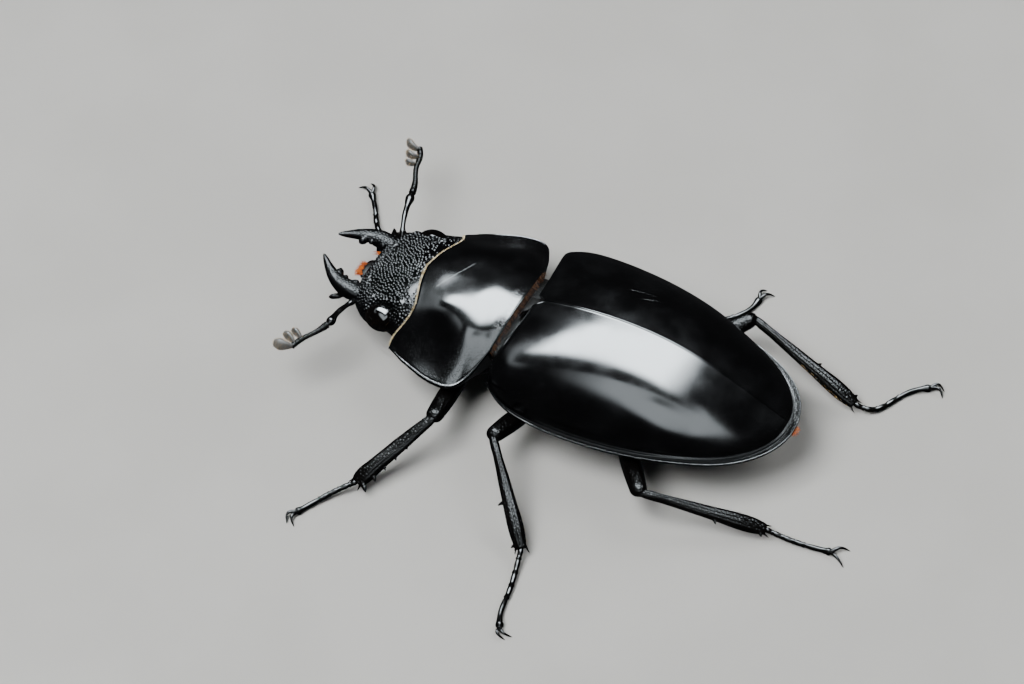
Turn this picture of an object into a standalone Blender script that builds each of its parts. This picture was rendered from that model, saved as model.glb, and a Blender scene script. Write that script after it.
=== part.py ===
"""A female stag beetle, Prosopocoilus confucius, standing at life size: the solids of its parts."""

import math

import bmesh
import bpy
import numpy as np
from mathutils import Matrix, Vector

# Units and placing. Sizes are millimetres in the body's own frame: x to the beetle's left,
# y back from the jaw tips, z up from the floor. The mesh is written in metres.
MM = 0.001
FRAME_CENTRE = (4.85, 23.72, 0.0)  # middle of the animal's footprint, which becomes the origin
GAP = 0.3  # left between neighbouring parts
WELD = 1e-7  # metres within which two corners are one

# Wing cases: the half outline seen from above, the ridge of the back and the rim
CASE_OUTLINE = (
    (7.5, 18.5), (8.45, 20.0), (9.0, 22.0), (9.25, 24.5), (9.2, 27.2), (8.85, 30.2),
    (8.2, 33.3), (7.2, 36.4), (5.9, 39.4), (4.0, 41.9), (2.1, 43.1), (0.0, 43.5),
)
CASE_CROWN = (
    (18.9, 8.75), (20.4, 9.25), (23.0, 9.95), (26.0, 10.4), (29.0, 10.5), (32.0, 10.2),
    (35.0, 9.4), (38.0, 8.2), (40.5, 7.05), (42.8, 5.95),
)
CASE_RIM_HEIGHT = ((18.5, 5.7), (20.5, 5.1), (24.0, 4.85), (32.0, 4.85), (38.0, 4.95), (43.5, 5.35))
CASE_RIM_STEP = 0.08  # the arch starts this far above the rim
CASE_FLANGE = ((18.5, 0.16), (22.0, 0.3), (32.0, 0.38), (38.0, 0.5), (41.0, 0.65), (43.5, 0.7))
CASE_THICKNESS = 0.5
CASE_BASE_SLANT = 0.7  # the base lies further back at the middle than at the shoulder
CASE_SLANT_END = 24.0  # where the cross sections have turned square to the body
# Exponent of the arch across the back: square shoulders, rounder toward the tail
CASE_ROUNDNESS = ((18.5, 3.0), (21.0, 2.8), (24.0, 2.4), (28.0, 2.15), (36.0, 2.02), (43.5, 1.98))
SEAM_HALF = 0.13  # half the gap between the two wing cases
RIM_DROP = 0.3  # depth of the turned-in edge under the rim
RIM_PROFILE = ((0.5, -0.02), (0.85, 0.1), (1.0, 0.0), (0.9, -0.22))  # share of the flange, height
CASE_ROWS = 26
CASE_OUTER_POINTS = 12
CASE_INNER_POINTS = 7

# Scutellum: the small triangle between the wing cases
SCUTELLUM_BASE = 18.55
SCUTELLUM_TIP = 20.35
SCUTELLUM_HALF = 1.05
SCUTELLUM_HEIGHT = 9.0
SCUTELLUM_RISE = 0.12  # rise per millimetre toward the tip
SCUTELLUM_THICKNESS = 0.55
SCUTELLUM_ROOM = 0.2

# Pronotum: side margin (x, y, z) from the front corner round to the hind margin, and midline
PRONOTUM_MARGIN = (
    (7.1, 9.3, 4.45), (7.75, 10.4, 4.55), (8.35, 11.8, 4.65), (8.9, 13.4, 4.75),
    (9.07, 14.5, 4.8), (9.0, 15.5, 4.85), (8.6, 16.15, 4.9), (7.85, 16.6, 5.05),
    (7.0, 17.0, 5.45), (6.1, 17.35, 6.05), (5.2, 17.65, 6.7),
)
PRONOTUM_CROWN = (
    (9.05, 7.8), (10.5, 8.15), (12.2, 8.45), (14.0, 8.6), (15.6, 8.6), (17.0, 8.45), (18.2, 8.2),
)
PRONOTUM_FLOOR = 4.25
PRONOTUM_EDGE = 0.35
PRONOTUM_BEAD = 0.1
PRONOTUM_ROUNDNESS = 2.5
PRONOTUM_ROWS = 17

# Head: half width, midline height and underside height at places along the body
HEAD_HALF_WIDTH = (
    (3.62, 2.5), (3.8, 3.2), (4.15, 3.95), (4.7, 4.45), (5.6, 4.95), (6.4, 5.1), (7.4, 5.15),
    (8.2, 5.35), (8.75, 5.75),
)
HEAD_CROWN = ((3.62, 5.15), (4.3, 5.55), (5.2, 6.05), (6.9, 6.75), (8.0, 7.25), (8.75, 7.5))
HEAD_BELLY = ((3.62, 4.75), (3.8, 4.0), (4.15, 3.2), (4.9, 2.55), (6.0, 2.2), (8.75, 2.1))
HEAD_WAIST_HEIGHT = 4.55
HEAD_ARCH = 2.4
HEAD_ROWS = 17
HEAD_POINTS = 30
# Swellings and hollows of the forehead: x, y, radius, height; each has a twin on the other side
HEAD_RELIEF = (
    (3.75, 4.9, 0.75, 0.28),
    (4.55, 5.75, 0.55, 0.16),
    (2.35, 4.75, 0.8, -0.2),
    (0.0, 4.9, 1.5, -0.14),
    (2.9, 7.6, 1.3, 0.12),
)

EYE_CENTRE = (4.55, 6.9, 4.85)
EYE_RADII = (1.2, 1.28, 1.25)

# Jaws: centre line, then the half width and half height of the blade along it
JAW_PATH = ((3.0, 3.75, 4.6), (3.05, 2.6, 4.75), (2.66, 1.45, 5.0), (1.92, 0.42, 5.3), (1.27, -0.32, 5.6))
JAW_HALF_WIDTH = ((0.0, 0.72), (0.12, 0.88), (0.35, 0.76), (0.6, 0.52), (0.85, 0.27), (1.0, 0.07))
JAW_HALF_HEIGHT = ((0.0, 0.58), (0.12, 0.66), (0.4, 0.52), (0.7, 0.35), (1.0, 0.06))
JAW_TOOTH = ((2.6, 1.75, 4.95), (1.6, 1.45, 5.2))
JAW_TOOTH_RADIUS = 0.5
JAW_LOBE = ((2.7, 3.1, 4.8), (2.0, 3.35, 5.05))
JAW_LOBE_RADIUS = 0.42

LABRUM_CENTRE = (0.0, 3.25, 4.2)
LABRUM_RADII = (1.25, 0.7, 0.3)

PALP_PATH = ((2.3, 4.0, 3.05), (2.75, 3.0, 3.45), (3.3, 2.2, 3.55), (3.75, 1.45, 3.45))
PALP_RADIUS = ((0.0, 0.26), (0.3, 0.2), (0.36, 0.25), (0.62, 0.2), (0.7, 0.28), (0.93, 0.22), (1.0, 0.1))

# Feelers: the joints of each side's pose, from the socket to the end of the club
FEELERS = {
    "left": ((4.55, 3.95, 4.7), (7.6, 3.62, 5.2), (10.3, 2.5, 5.3), (11.4, 2.15, 5.35)),
    "right": ((-4.55, 3.95, 4.7), (-8.5, 2.98, 5.2), (-11.9, 1.7, 5.3), (-13.5, 1.15, 5.35)),
}
FEELER_SOCKET = 0.62
SCAPE_BOW = (0.0, -0.28, 0.05)
SCAPE_RADIUS = ((0.0, 0.2), (0.1, 0.24), (0.4, 0.2), (0.8, 0.28), (0.95, 0.33), (1.0, 0.2))
FUNICLE_BEADS = 6
FUNICLE_RADIUS = 0.23
FUNICLE_WAIST = 0.16
# Each leaf of the club: how far it reaches forward, and its lean away from the head
CLUB_LEAVES = ((0.5, -0.3), (0.95, -0.5), (1.15, -0.4), (1.4, -0.05))
LEAF_ROOT = 0.16
LEAF_HALF_THICKNESS = ((0.0, 0.12), (0.3, 0.22), (0.7, 0.28), (0.92, 0.2), (1.0, 0.06))
LEAF_HALF_HEIGHT = ((0.0, 0.2), (0.3, 0.38), (0.7, 0.48), (0.92, 0.34), (1.0, 0.1))
STEM_RADIUS = ((0.0, 0.2), (1.0, 0.16))

# Legs: hip, knee, shin end and the foot's points, one pose for each
LEGS = {
    "front_left": ((3.0, 14.8, 1.6), (11.8, 15.85, 4.2), (18.5, 12.2, 1.0),
                   ((19.7, 11.1, 0.65), (21.5, 9.95, 0.42), (23.3, 8.95, 0.3))),
    "mid_left": ((3.3, 22.3, 1.5), (11.4, 21.2, 4.4), (18.3, 27.45, 0.95),
                 ((19.9, 27.85, 0.55), (22.4, 28.4, 0.3), (24.6, 28.8, 0.3), (26.0, 29.5, 0.3))),
    "hind_left": ((3.2, 28.8, 1.5), (10.8, 34.4, 4.0), (7.3, 44.3, 0.95),
                  ((7.1, 45.7, 0.55), (6.8, 48.0, 0.3), (6.45, 50.1, 0.3))),
    "front_right": ((-2.2, 15.4, 1.6), (-7.6, 9.0, 3.0), (-6.3, 1.75, 0.9),
                    ((-6.95, 0.45, 0.55), (-9.3, -1.3, 0.3), (-11.0, -2.65, 0.3))),
    "mid_right": ((-2.8, 23.0, 1.5), (-9.4, 19.2, 4.0), (-9.8, 28.2, 0.95),
                  ((-10.3, 29.4, 0.55), (-12.2, 31.6, 0.3),
                   (-14.1, 32.85, 0.3), (-15.85, 33.1, 0.3))),
    "hind_right": ((-3.2, 28.8, 1.5), (-10.3, 34.75, 4.1), (-8.15, 45.3, 0.95),
                   ((-8.5, 46.6, 0.55), (-10.6, 47.95, 0.3),
                    (-12.4, 49.1, 0.3), (-13.35, 50.4, 0.3))),
}
# Which edge of each shin carries the teeth, as the side of its run: +1 right of it, -1 left
OUTER_EDGE = {
    "front_left": -1, "mid_left": 1, "hind_left": 1,
    "front_right": 1, "mid_right": -1, "hind_right": -1,
}
COXA_INWARD = 1.1  # how far the hip joint's near end lies toward the midline
COXA_RISE = 0.55
COXA_RADIUS = 0.75
COXA_PROFILE = ((0.0, 0.45), (0.15, 0.85), (0.5, 1.0), (0.85, 0.85), (1.0, 0.5))
FEMUR_HALF_WIDTH = ((0.0, 0.4), (0.08, 0.55), (0.3, 0.75), (0.65, 0.82), (0.9, 0.72), (1.0, 0.42))
FEMUR_HALF_HEIGHT = ((0.0, 0.35), (0.08, 0.5), (0.3, 0.65), (0.65, 0.7), (0.9, 0.62), (1.0, 0.36))
KNEE_OVERHANG = 0.25  # how far the thigh reaches past the knee's axis
TIBIA_HALF_WIDTH = {
    "front": ((0.0, 0.32), (0.1, 0.42), (0.4, 0.58), (0.8, 0.74), (0.95, 0.78), (1.0, 0.6)),
    "mid": ((0.0, 0.3), (0.1, 0.4), (0.4, 0.55), (0.7, 0.68), (0.95, 0.7), (1.0, 0.55)),
    "hind": ((0.0, 0.3), (0.1, 0.38), (0.4, 0.52), (0.7, 0.62), (0.95, 0.68), (1.0, 0.55)),
}
TIBIA_HALF_HEIGHT = ((0.0, 0.3), (0.1, 0.36), (0.5, 0.42), (0.95, 0.45), (1.0, 0.34))
# Teeth on the shins: place along, length and root radius
TIBIA_TEETH = {
    "front": ((0.36, 0.22, 0.2), (0.52, 0.28, 0.22), (0.67, 0.36, 0.24),
              (0.82, 0.5, 0.28), (0.955, 0.75, 0.32)),
    "mid": ((0.56, 0.5, 0.25), (0.96, 0.35, 0.24)),
    "hind": ((0.58, 0.45, 0.25), (0.96, 0.35, 0.24)),
}
TIBIA_START = 0.45  # how far the shin begins beyond the knee's axis
TOOTH_SINK = 0.35
TOOTH_LEAN = 0.45
SPUR_LENGTH = 0.85
SPUR_RADIUS = 0.17
SPUR_ROOT = 0.38
SPUR_SPREAD = 0.78
SPUR_DROP = 0.2
FOOT_RADIUS = 0.3
FOOT_SEGMENTS = 4  # short ones before the long last one
LAST_SEGMENT_SHARE = 0.4
FOOT_ROWS = 21
# Claws: degrees by which each pair is turned from its foot's run, and its spread
CLAWS = {
    "front_left": (60, 0.35), "mid_left": (65, 0.32), "hind_left": (-10, 0.75),
    "front_right": (30, 0.5), "mid_right": (-35, 0.4), "hind_right": (-60, 0.35),
}
CLAW_LENGTH = 1.3
CLAW_TIP_HEIGHT = 0.05
CLAW_RADIUS = ((0.0, 0.17), (0.4, 0.14), (0.8, 0.08), (1.0, 0.03))

# Underside: half widths come from the wing cases; heights of the belly and split between rings
BELLY = ((18.5, 1.7), (20.0, 1.25), (26.0, 1.1), (30.0, 1.15), (35.0, 1.6), (39.0, 2.7), (42.2, 4.5))
STERNUM_FRONT = 18.5
STERNUM_REAR = 28.9
STERNUM_NECK = 4.9  # half width of its front end
STERNUM_FLARE = 2.2  # length over which it widens
STERNUM_UNDER_CASE = 19.6
ABDOMEN_REAR = 42.0
ABDOMEN_RINGS = 5  # belly plates that show
ABDOMEN_STEPS = ((0.02, -0.1), (0.5, 0.0), (0.96, 0.06))  # share of a plate, depth below the belly
SIDE_DROP = 0.2  # the side line lies this far under the rim of the wing cases
PROSTERNUM_HALF = ((9.05, 5.2), (11.0, 5.9), (14.0, 6.6), (16.0, 6.3), (17.5, 4.9))
PROSTERNUM_BELLY = ((9.05, 2.0), (11.0, 1.6), (14.0, 1.35), (17.5, 1.7))

COLOURS = {
    "shell": (0.012, 0.012, 0.014, 0.12),
    "head": (0.014, 0.014, 0.015, 0.32),
    "leg": (0.014, 0.013, 0.013, 0.25),
    "eye": (0.02, 0.012, 0.008, 0.06),
    "belly": (0.016, 0.013, 0.012, 0.3),
    "feeler": (0.05, 0.047, 0.043, 0.5),
    "mouth": (0.03, 0.016, 0.01, 0.35),
}


def clear_scene():
    for item in list(bpy.data.objects):
        bpy.data.objects.remove(item, do_unlink=True)


def spline(stations, at):
    """Natural cubic spline through (place, value...) stations, read at the places in at."""
    table = np.array(stations, float)
    x, y = table[:, 0], table[:, 1:]
    step = np.diff(x)[:, None]
    slope = np.diff(y, axis=0) / step
    count = len(x)
    system = np.eye(count)
    bend = np.zeros_like(y)
    for i in range(1, count - 1):
        system[i, i - 1 : i + 2] = step[i - 1, 0], 2 * (step[i - 1, 0] + step[i, 0]), step[i, 0]
        bend[i] = 6 * (slope[i] - slope[i - 1])
    bend = np.linalg.solve(system, bend)
    at = np.clip(np.atleast_1d(np.asarray(at, float)), x[0], x[-1])
    k = np.clip(np.searchsorted(x, at) - 1, 0, count - 2)
    h = step[k]
    a = (x[k + 1] - at)[:, None] / h
    b = 1 - a
    value = a * y[k] + b * y[k + 1] + ((a**3 - a) * bend[k] + (b**3 - b) * bend[k + 1]) * h**2 / 6
    return value[:, 0] if value.shape[1] == 1 else value


def read(stations, at):
    """One value of a spline."""
    return float(spline(stations, at)[0])


def path_through(points, count):
    """count points evenly spaced along a smooth curve through the given ones."""
    points = np.array(points, float)
    walk = np.r_[0, np.cumsum(np.linalg.norm(np.diff(points, axis=0), axis=1))]
    fine = spline(np.column_stack([walk, points]), np.linspace(0, walk[-1], 40 * len(points)))
    length = np.r_[0, np.cumsum(np.linalg.norm(np.diff(fine, axis=0), axis=1))]
    even = np.linspace(0, length[-1], count)
    return np.column_stack([np.interp(even, length, fine[:, k]) for k in range(fine.shape[1])])


def loft(rings):
    """A closed body through rings of equally many points; a ring drawn to one point is a pole."""
    body = bmesh.new()
    centre = Vector(FRAME_CENTRE)
    rows = [[body.verts.new((Vector(p) - centre) * MM) for p in ring] for ring in rings]
    for near, far in zip(rows, rows[1:]):
        for i in range(len(near)):
            j = (i + 1) % len(near)
            body.faces.new((near[i], near[j], far[j], far[i]))
    bmesh.ops.remove_doubles(body, verts=body.verts, dist=WELD)
    open_edges = [edge for edge in body.edges if edge.is_boundary]
    if open_edges:
        bmesh.ops.holes_fill(body, edges=open_edges, sides=0)
    bmesh.ops.triangulate(body, faces=body.faces)
    bmesh.ops.recalc_face_normals(body, faces=body.faces)
    return body


def tube(path, half_width, half_height, sides):
    """Rings of an oval section along a path; its width lies level."""
    path = np.array(path, float)
    share = np.linspace(0, 1, len(path))
    widths = spline(half_width, share)
    heights = spline(half_height, share)
    rings = []
    for i, point in enumerate(path):
        run = Vector(path[min(i + 1, len(path) - 1)] - path[max(i - 1, 0)]).normalized()
        side = run.cross(Vector((0, 0, 1))).normalized()
        over = side.cross(run)
        ring = []
        for k in range(sides):
            angle = math.tau * k / sides
            offset = side * widths[i] * math.cos(angle) + over * heights[i] * math.sin(angle)
            ring.append(Vector(point) + offset)
        rings.append(ring)
    return rings


def cone(root, tip, radius, sides=5):
    """A spine from a sunk root to a fine tip."""
    path = np.linspace(np.array(root, float), np.array(tip, float), 2)
    taper = ((0.0, radius), (1.0, radius * 0.15))
    return loft(tube(path, taper, taper, sides))


def ellipsoid(centre, radii, rows=8, sides=14):
    rings = []
    for i in range(rows + 1):
        polar = math.pi * i / rows
        ring = []
        for k in range(sides):
            angle = math.tau * k / sides
            ring.append((
                centre[0] + radii[0] * math.sin(polar) * math.cos(angle),
                centre[1] + radii[1] * math.cos(polar),
                centre[2] + radii[2] * math.sin(polar) * math.sin(angle),
            ))
        rings.append(ring)
    return loft(rings)


def mirrored(points):
    return [(-p[0], *p[1:]) for p in points]


def sided(side, points):
    """The points as given for the left, mirrored for the right."""
    return points if side == "left" else mirrored(points)


def as_object(name, body):
    mesh = bpy.data.meshes.new(name)
    body.to_mesh(mesh)
    body.free()
    item = bpy.data.objects.new(name, mesh)
    bpy.context.scene.collection.objects.link(item)
    return item


def boolean(item, bodies, operation, solver="EXACT"):
    """Joins the bodies to the object or cuts them from it, and removes them."""
    group = bpy.data.collections.new(item.name + " pieces")
    for number, body in enumerate(bodies):
        piece = as_object(f"{item.name} piece {number}", body)
        bpy.context.scene.collection.objects.unlink(piece)
        group.objects.link(piece)
    modifier = item.modifiers.new(operation.title(), "BOOLEAN")
    modifier.operation = operation
    modifier.operand_type = "COLLECTION"
    modifier.collection = group
    modifier.solver = solver
    bpy.context.scene.collection.children.link(group)
    graph = bpy.context.evaluated_depsgraph_get()
    result = bpy.data.meshes.new_from_object(item.evaluated_get(graph))
    item.modifiers.clear()
    old = item.data
    item.data = result
    bpy.data.meshes.remove(old)
    for piece in list(group.objects):
        bpy.data.objects.remove(piece, do_unlink=True)
    bpy.data.collections.remove(group)
    keep_largest(item)


def keep_largest(item):
    """Keeps the largest closed surface of the object."""
    body = bmesh.new()
    body.from_mesh(item.data)
    bmesh.ops.triangulate(body, faces=body.faces)
    waiting = set(body.faces)
    islands = []
    while waiting:
        stack = [waiting.pop()]
        island = list(stack)
        while stack:
            for edge in stack.pop().edges:
                for face in edge.link_faces:
                    if face in waiting:
                        waiting.remove(face)
                        stack.append(face)
                        island.append(face)
        islands.append(island)
    islands.sort(key=lambda island: sum(face.calc_area() for face in island))
    loose = [face for island in islands[:-1] for face in island]
    bmesh.ops.delete(body, geom=loose, context="FACES")
    body.to_mesh(item.data)
    body.free()


def finish(item, look):
    """Gives a part its own material and smooth shading."""
    red, green, blue, roughness = COLOURS[look]
    material = bpy.data.materials.new(item.name)
    material.use_nodes = True
    shader = material.node_tree.nodes["Principled BSDF"]
    shader.inputs["Base Color"].default_value = (red, green, blue, 1)
    shader.inputs["Roughness"].default_value = roughness
    shader.inputs["Metallic"].default_value = 0.0
    item.data.materials.clear()
    item.data.materials.append(material)
    for polygon in item.data.polygons:
        polygon.use_smooth = True
    return item


# Wing cases

def crown_height(y, depth):
    """Height of the ridge of the back, or of a surface that lies some depth under it."""
    places = np.linspace(CASE_CROWN[0][0], CASE_CROWN[-1][0], 200)
    heights = spline(CASE_CROWN, places)
    slope = np.gradient(heights, places)
    lean = np.sqrt(1 + slope**2)
    return float(np.interp(y, places + depth * slope / lean, heights - depth / lean))


def case_rows(count, depth):
    """For each row: outer rim point, edge of the arch, outward direction and rim height."""
    half = list(CASE_OUTLINE)
    whole = half + mirrored(half[-2::-1])
    outline = path_through(whole, 2 * count - 1)
    run = np.gradient(outline, axis=0)[:count]
    outline = outline[:count]
    outward = np.column_stack([run[:, 1], -run[:, 0]])
    outward /= np.linalg.norm(outward, axis=1)[:, None]
    outward[-1] = 0, 1
    flange = spline(CASE_FLANGE, outline[:, 1])
    rim = spline(CASE_RIM_HEIGHT, outline[:, 1])
    edge = outline - outward * (flange + depth)[:, None]
    edge[-1, 0] = 0
    return outline, edge, outward, flange, rim


def beside_seam(x):
    """Squeezes a distance from the midline so that the gap at the seam stays open."""
    return SEAM_HALF + x * (1 - SEAM_HALF / CASE_OUTLINE[3][0])


def case_arch(edge, crown, low, start, count):
    """Points of one arch from the seam side out to the edge."""
    slant = max(0.0, 1 - (edge[1] - CASE_CROWN[0][0]) / (CASE_SLANT_END - CASE_CROWN[0][0]))
    middle = edge[1] + CASE_BASE_SLANT * min(slant, 1.0) ** 2
    roundness = read(CASE_ROUNDNESS, edge[1])
    first = math.asin(min(1.0, start / max(edge[0], 1e-6)) ** (roundness / 2)) if start else 0.0
    points = []
    for angle in np.linspace(first, math.pi / 2, count):
        across = math.sin(angle) ** (2 / roundness)
        rise = max(0.0, math.cos(angle)) ** (2 / roundness)
        y = middle + (edge[1] - middle) * across**2
        points.append((beside_seam(edge[0] * across), y, low + (crown(middle) - low) * rise))
    return points


def notch_half(y):
    """Half width of the notch that the scutellum fills."""
    share = (SCUTELLUM_TIP - y) / (SCUTELLUM_TIP - SCUTELLUM_BASE)
    return max(0.0, SCUTELLUM_HALF * share + SCUTELLUM_ROOM) if share > 0 else 0.0


def wing_case(side):
    """A thin arched shell with a gutter and a raised rim along its outer edge."""
    outline, edge, outward, flange, rim = case_rows(CASE_ROWS, 0.0)
    inner_edge = case_rows(CASE_ROWS, CASE_THICKNESS)[1]
    rings = []
    for i in range(CASE_ROWS):
        start = notch_half(edge[i][1] + CASE_BASE_SLANT / 2)
        outer = case_arch(
            edge[i], lambda y: crown_height(y, 0.0), rim[i] + CASE_RIM_STEP, start, CASE_OUTER_POINTS
        )
        inner = case_arch(
            inner_edge[i], lambda y: crown_height(y, CASE_THICKNESS),
            rim[i] - RIM_DROP, start, CASE_INNER_POINTS,
        )
        flange_points = []
        for share, lift in RIM_PROFILE:
            spot = edge[i] + outward[i] * flange[i] * share
            flange_points.append((beside_seam(spot[0]), spot[1], rim[i] + lift))
        ring = outer + flange_points + inner[::-1]
        rings.append(sided(side, ring))
    return finish(as_object(f"elytron_{side}", loft(rings)), "shell")


def scutellum():
    """A small shield wedged between the bases of the wing cases."""
    rings = []
    for y in np.linspace(SCUTELLUM_BASE, SCUTELLUM_TIP - 0.15, 6):
        half = SCUTELLUM_HALF * ((SCUTELLUM_TIP - y) / (SCUTELLUM_TIP - SCUTELLUM_BASE)) ** 0.9
        top = SCUTELLUM_HEIGHT + SCUTELLUM_RISE * (y - SCUTELLUM_BASE)
        low = top - SCUTELLUM_THICKNESS
        rings.append([
            (half, y, top - 0.12), (half * 0.5, y, top - 0.02), (0, y, top),
            (-half * 0.5, y, top - 0.02), (-half, y, top - 0.12),
            (-half * 0.9, y, low + 0.1), (0, y, low), (half * 0.9, y, low + 0.1),
        ])
    return finish(as_object("scutellum", loft(rings)), "shell")


# Thorax and abdomen

def pronotum():
    """The shield behind the head: a low dome with a thin raised edge and cut hind corners."""
    margin = path_through(PRONOTUM_MARGIN, PRONOTUM_ROWS)
    places = np.linspace(PRONOTUM_CROWN[0][0], PRONOTUM_CROWN[-1][0], PRONOTUM_ROWS)
    heights = spline(PRONOTUM_CROWN, places)
    rings = []
    for i, (x, y, z) in enumerate(margin):
        half = []
        for angle in np.linspace(0, math.pi / 2, 10):
            across = math.sin(angle) * 0.965
            rise = 1 - across**PRONOTUM_ROUNDNESS
            depth = places[i] + (y - places[i]) * across**2
            half.append((x * across, depth, z + (heights[i] - z) * rise))
        half.append((x * 0.985, y, z + PRONOTUM_BEAD))
        half.append((x, y, z + 0.02))
        under = [
            (x - 0.12, y, z - PRONOTUM_EDGE),
            (x - 0.9, y - 0.02, PRONOTUM_FLOOR),
            (x * 0.4, y, PRONOTUM_FLOOR),
        ]
        right = mirrored(half + under)
        rings.append(half + under + right[:0:-1])
    return finish(as_object("pronotum", loft(rings)), "shell")


def belly_ring(y, half, top, side_height, low, arch, hang, points=8):
    """A closed ring: an arch above the side line and a bowl below it."""
    ring = []
    for angle in np.linspace(0, math.pi, 2 * points - 1):
        across, rise = math.cos(angle), max(0.0, math.sin(angle))
        across = math.copysign(abs(across) ** (2 / arch), across)
        ring.append((half * across, y, side_height + (top - side_height) * rise ** (2 / arch)))
    for angle in np.linspace(math.pi, math.tau, 2 * points - 1)[1:-1]:
        across, fall = math.cos(angle), abs(math.sin(angle))
        across = math.copysign(abs(across) ** (2 / hang), across)
        ring.append((half * across, y, side_height - (side_height - low) * fall ** (2 / hang)))
    return ring


def case_half_inside(y, depth):
    """Half width of the space under the wing cases at a place along the body."""
    edge = case_rows(60, depth)[1]
    return float(np.interp(y, edge[:, 1], edge[:, 0]))


def sternum(cutters):
    """Middle and hind chest under the wing cases, hollowed where the legs lie."""
    rings = []
    for y in np.linspace(STERNUM_FRONT, STERNUM_REAR, 9):
        flare = min(1.0, (y - STERNUM_FRONT) / STERNUM_FLARE)
        depth = CASE_THICKNESS + GAP
        under_case = case_half_inside(max(y, STERNUM_UNDER_CASE), depth)
        half = STERNUM_NECK + (under_case - STERNUM_NECK) * flare
        top = crown_height(max(y, STERNUM_UNDER_CASE), depth + 0.35)
        side_height = read(CASE_RIM_HEIGHT, y) - SIDE_DROP
        rings.append(belly_ring(y, half, top, side_height, read(BELLY, y), 2.1, 1.45))
    item = as_object("sternum", loft(rings))
    boolean(item, cutters, "DIFFERENCE")
    return finish(item, "belly")


def abdomen(cutters):
    """The hind body under the wing cases, with its belly plates in shallow steps."""
    rings = []
    start = STERNUM_REAR + GAP
    length = ABDOMEN_REAR - start
    for number in range(ABDOMEN_RINGS):
        for share, step in ABDOMEN_STEPS:
            y = start + length * (number + share) / ABDOMEN_RINGS
            depth = CASE_THICKNESS + GAP
            half = case_half_inside(y, depth)
            low = read(BELLY, y) - step
            side_height = read(CASE_RIM_HEIGHT, y) - SIDE_DROP
            top = crown_height(y, depth + 0.05)
            arch = read(CASE_ROUNDNESS, y) - 0.05
            rings.append(belly_ring(y, half, top, side_height, low, arch, 1.7))
    item = as_object("abdomen", loft(rings))
    boolean(item, cutters, "DIFFERENCE")
    return finish(item, "belly")


def prosternum(cutters):
    """The underside of the front chest."""
    rings = []
    top = PRONOTUM_FLOOR - GAP
    for y in np.linspace(PROSTERNUM_HALF[0][0], PROSTERNUM_HALF[-1][0], 9):
        half = read(PROSTERNUM_HALF, y)
        rings.append(belly_ring(y, half, top, top - 0.25, read(PROSTERNUM_BELLY, y), 3.0, 1.7))
    item = as_object("prosternum", loft(rings))
    boolean(item, cutters, "DIFFERENCE")
    return finish(item, "belly")


# Head and mouth

def head_relief(x, y):
    """How far the forehead stands above or below its plain arch."""
    lift = 0.0
    for bump_x, bump_y, radius, height in HEAD_RELIEF:
        for centre in {bump_x, -bump_x}:
            lift += height * math.exp(-((x - centre) ** 2 + (y - bump_y) ** 2) / radius**2)
    return lift


def head(cutters):
    """The broad flat head, with sockets for eyes, jaws and feelers."""
    rings = []
    first, last = HEAD_CROWN[0][0], HEAD_CROWN[-1][0]
    for share in np.linspace(0, 1, HEAD_ROWS) ** 1.25:
        y = first + (last - first) * share
        half = read(HEAD_HALF_WIDTH, y)
        top, low = read(HEAD_CROWN, y), read(HEAD_BELLY, y)
        waist = min(HEAD_WAIST_HEIGHT, (top + low) / 2 + 0.2) if y < 4.2 else HEAD_WAIST_HEIGHT
        ring = []
        for k in range(HEAD_POINTS):
            angle = math.tau * k / HEAD_POINTS
            across = math.copysign(abs(math.cos(angle)) ** (2 / HEAD_ARCH), math.cos(angle))
            rise = abs(math.sin(angle)) ** (2 / HEAD_ARCH)
            x = half * across
            if math.sin(angle) >= 0:
                z = waist + (top - waist) * rise + head_relief(x, y) * rise
            else:
                z = waist - (waist - low) * rise
            ring.append((x, y, z))
        rings.append(ring)
    item = as_object("head", loft(rings))
    boolean(item, cutters, "DIFFERENCE")
    return finish(item, "head")


def eye_body(side, clearance=0.0):
    centre = sided(side, [EYE_CENTRE])[0]
    return ellipsoid(centre, [r + clearance for r in EYE_RADII])


def grown(stations, clearance):
    return tuple((place, size + clearance) for place, size in stations)


def stretched(path, clearance):
    """The path run on past both ends."""
    path = np.array(path, float)
    if clearance:
        ends = (path[0] - path[1]) / np.linalg.norm(path[0] - path[1])
        path[0] += ends * clearance
        ends = (path[-1] - path[-2]) / np.linalg.norm(path[-1] - path[-2])
        path[-1] += ends * clearance
    return path


def jaw_body(side, clearance=0.0, sides=10):
    path = stretched(path_through(sided(side, JAW_PATH), 10), clearance)
    return loft(tube(path, grown(JAW_HALF_WIDTH, clearance), grown(JAW_HALF_HEIGHT, clearance), sides))


def mandible(side):
    """A short sickle jaw with one inner tooth and a lobe at its base."""
    item = as_object(f"mandible_{side}", jaw_body(side))
    tooth = cone(*sided(side, JAW_TOOTH), JAW_TOOTH_RADIUS, 8)
    lobe = cone(*sided(side, JAW_LOBE), JAW_LOBE_RADIUS, 8)
    boolean(item, [tooth, lobe], "UNION")
    return finish(item, "head")


def labrum():
    """The upper lip, a thin rounded plate between the jaws."""
    return finish(as_object("labrum", ellipsoid(LABRUM_CENTRE, LABRUM_RADII, 8, 14)), "mouth")


def palp_body(side, clearance=0.0):
    path = stretched(path_through(sided(side, PALP_PATH), 13), clearance)
    radius = grown(PALP_RADIUS, clearance)
    return loft(tube(path, radius, radius, 6))


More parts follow.
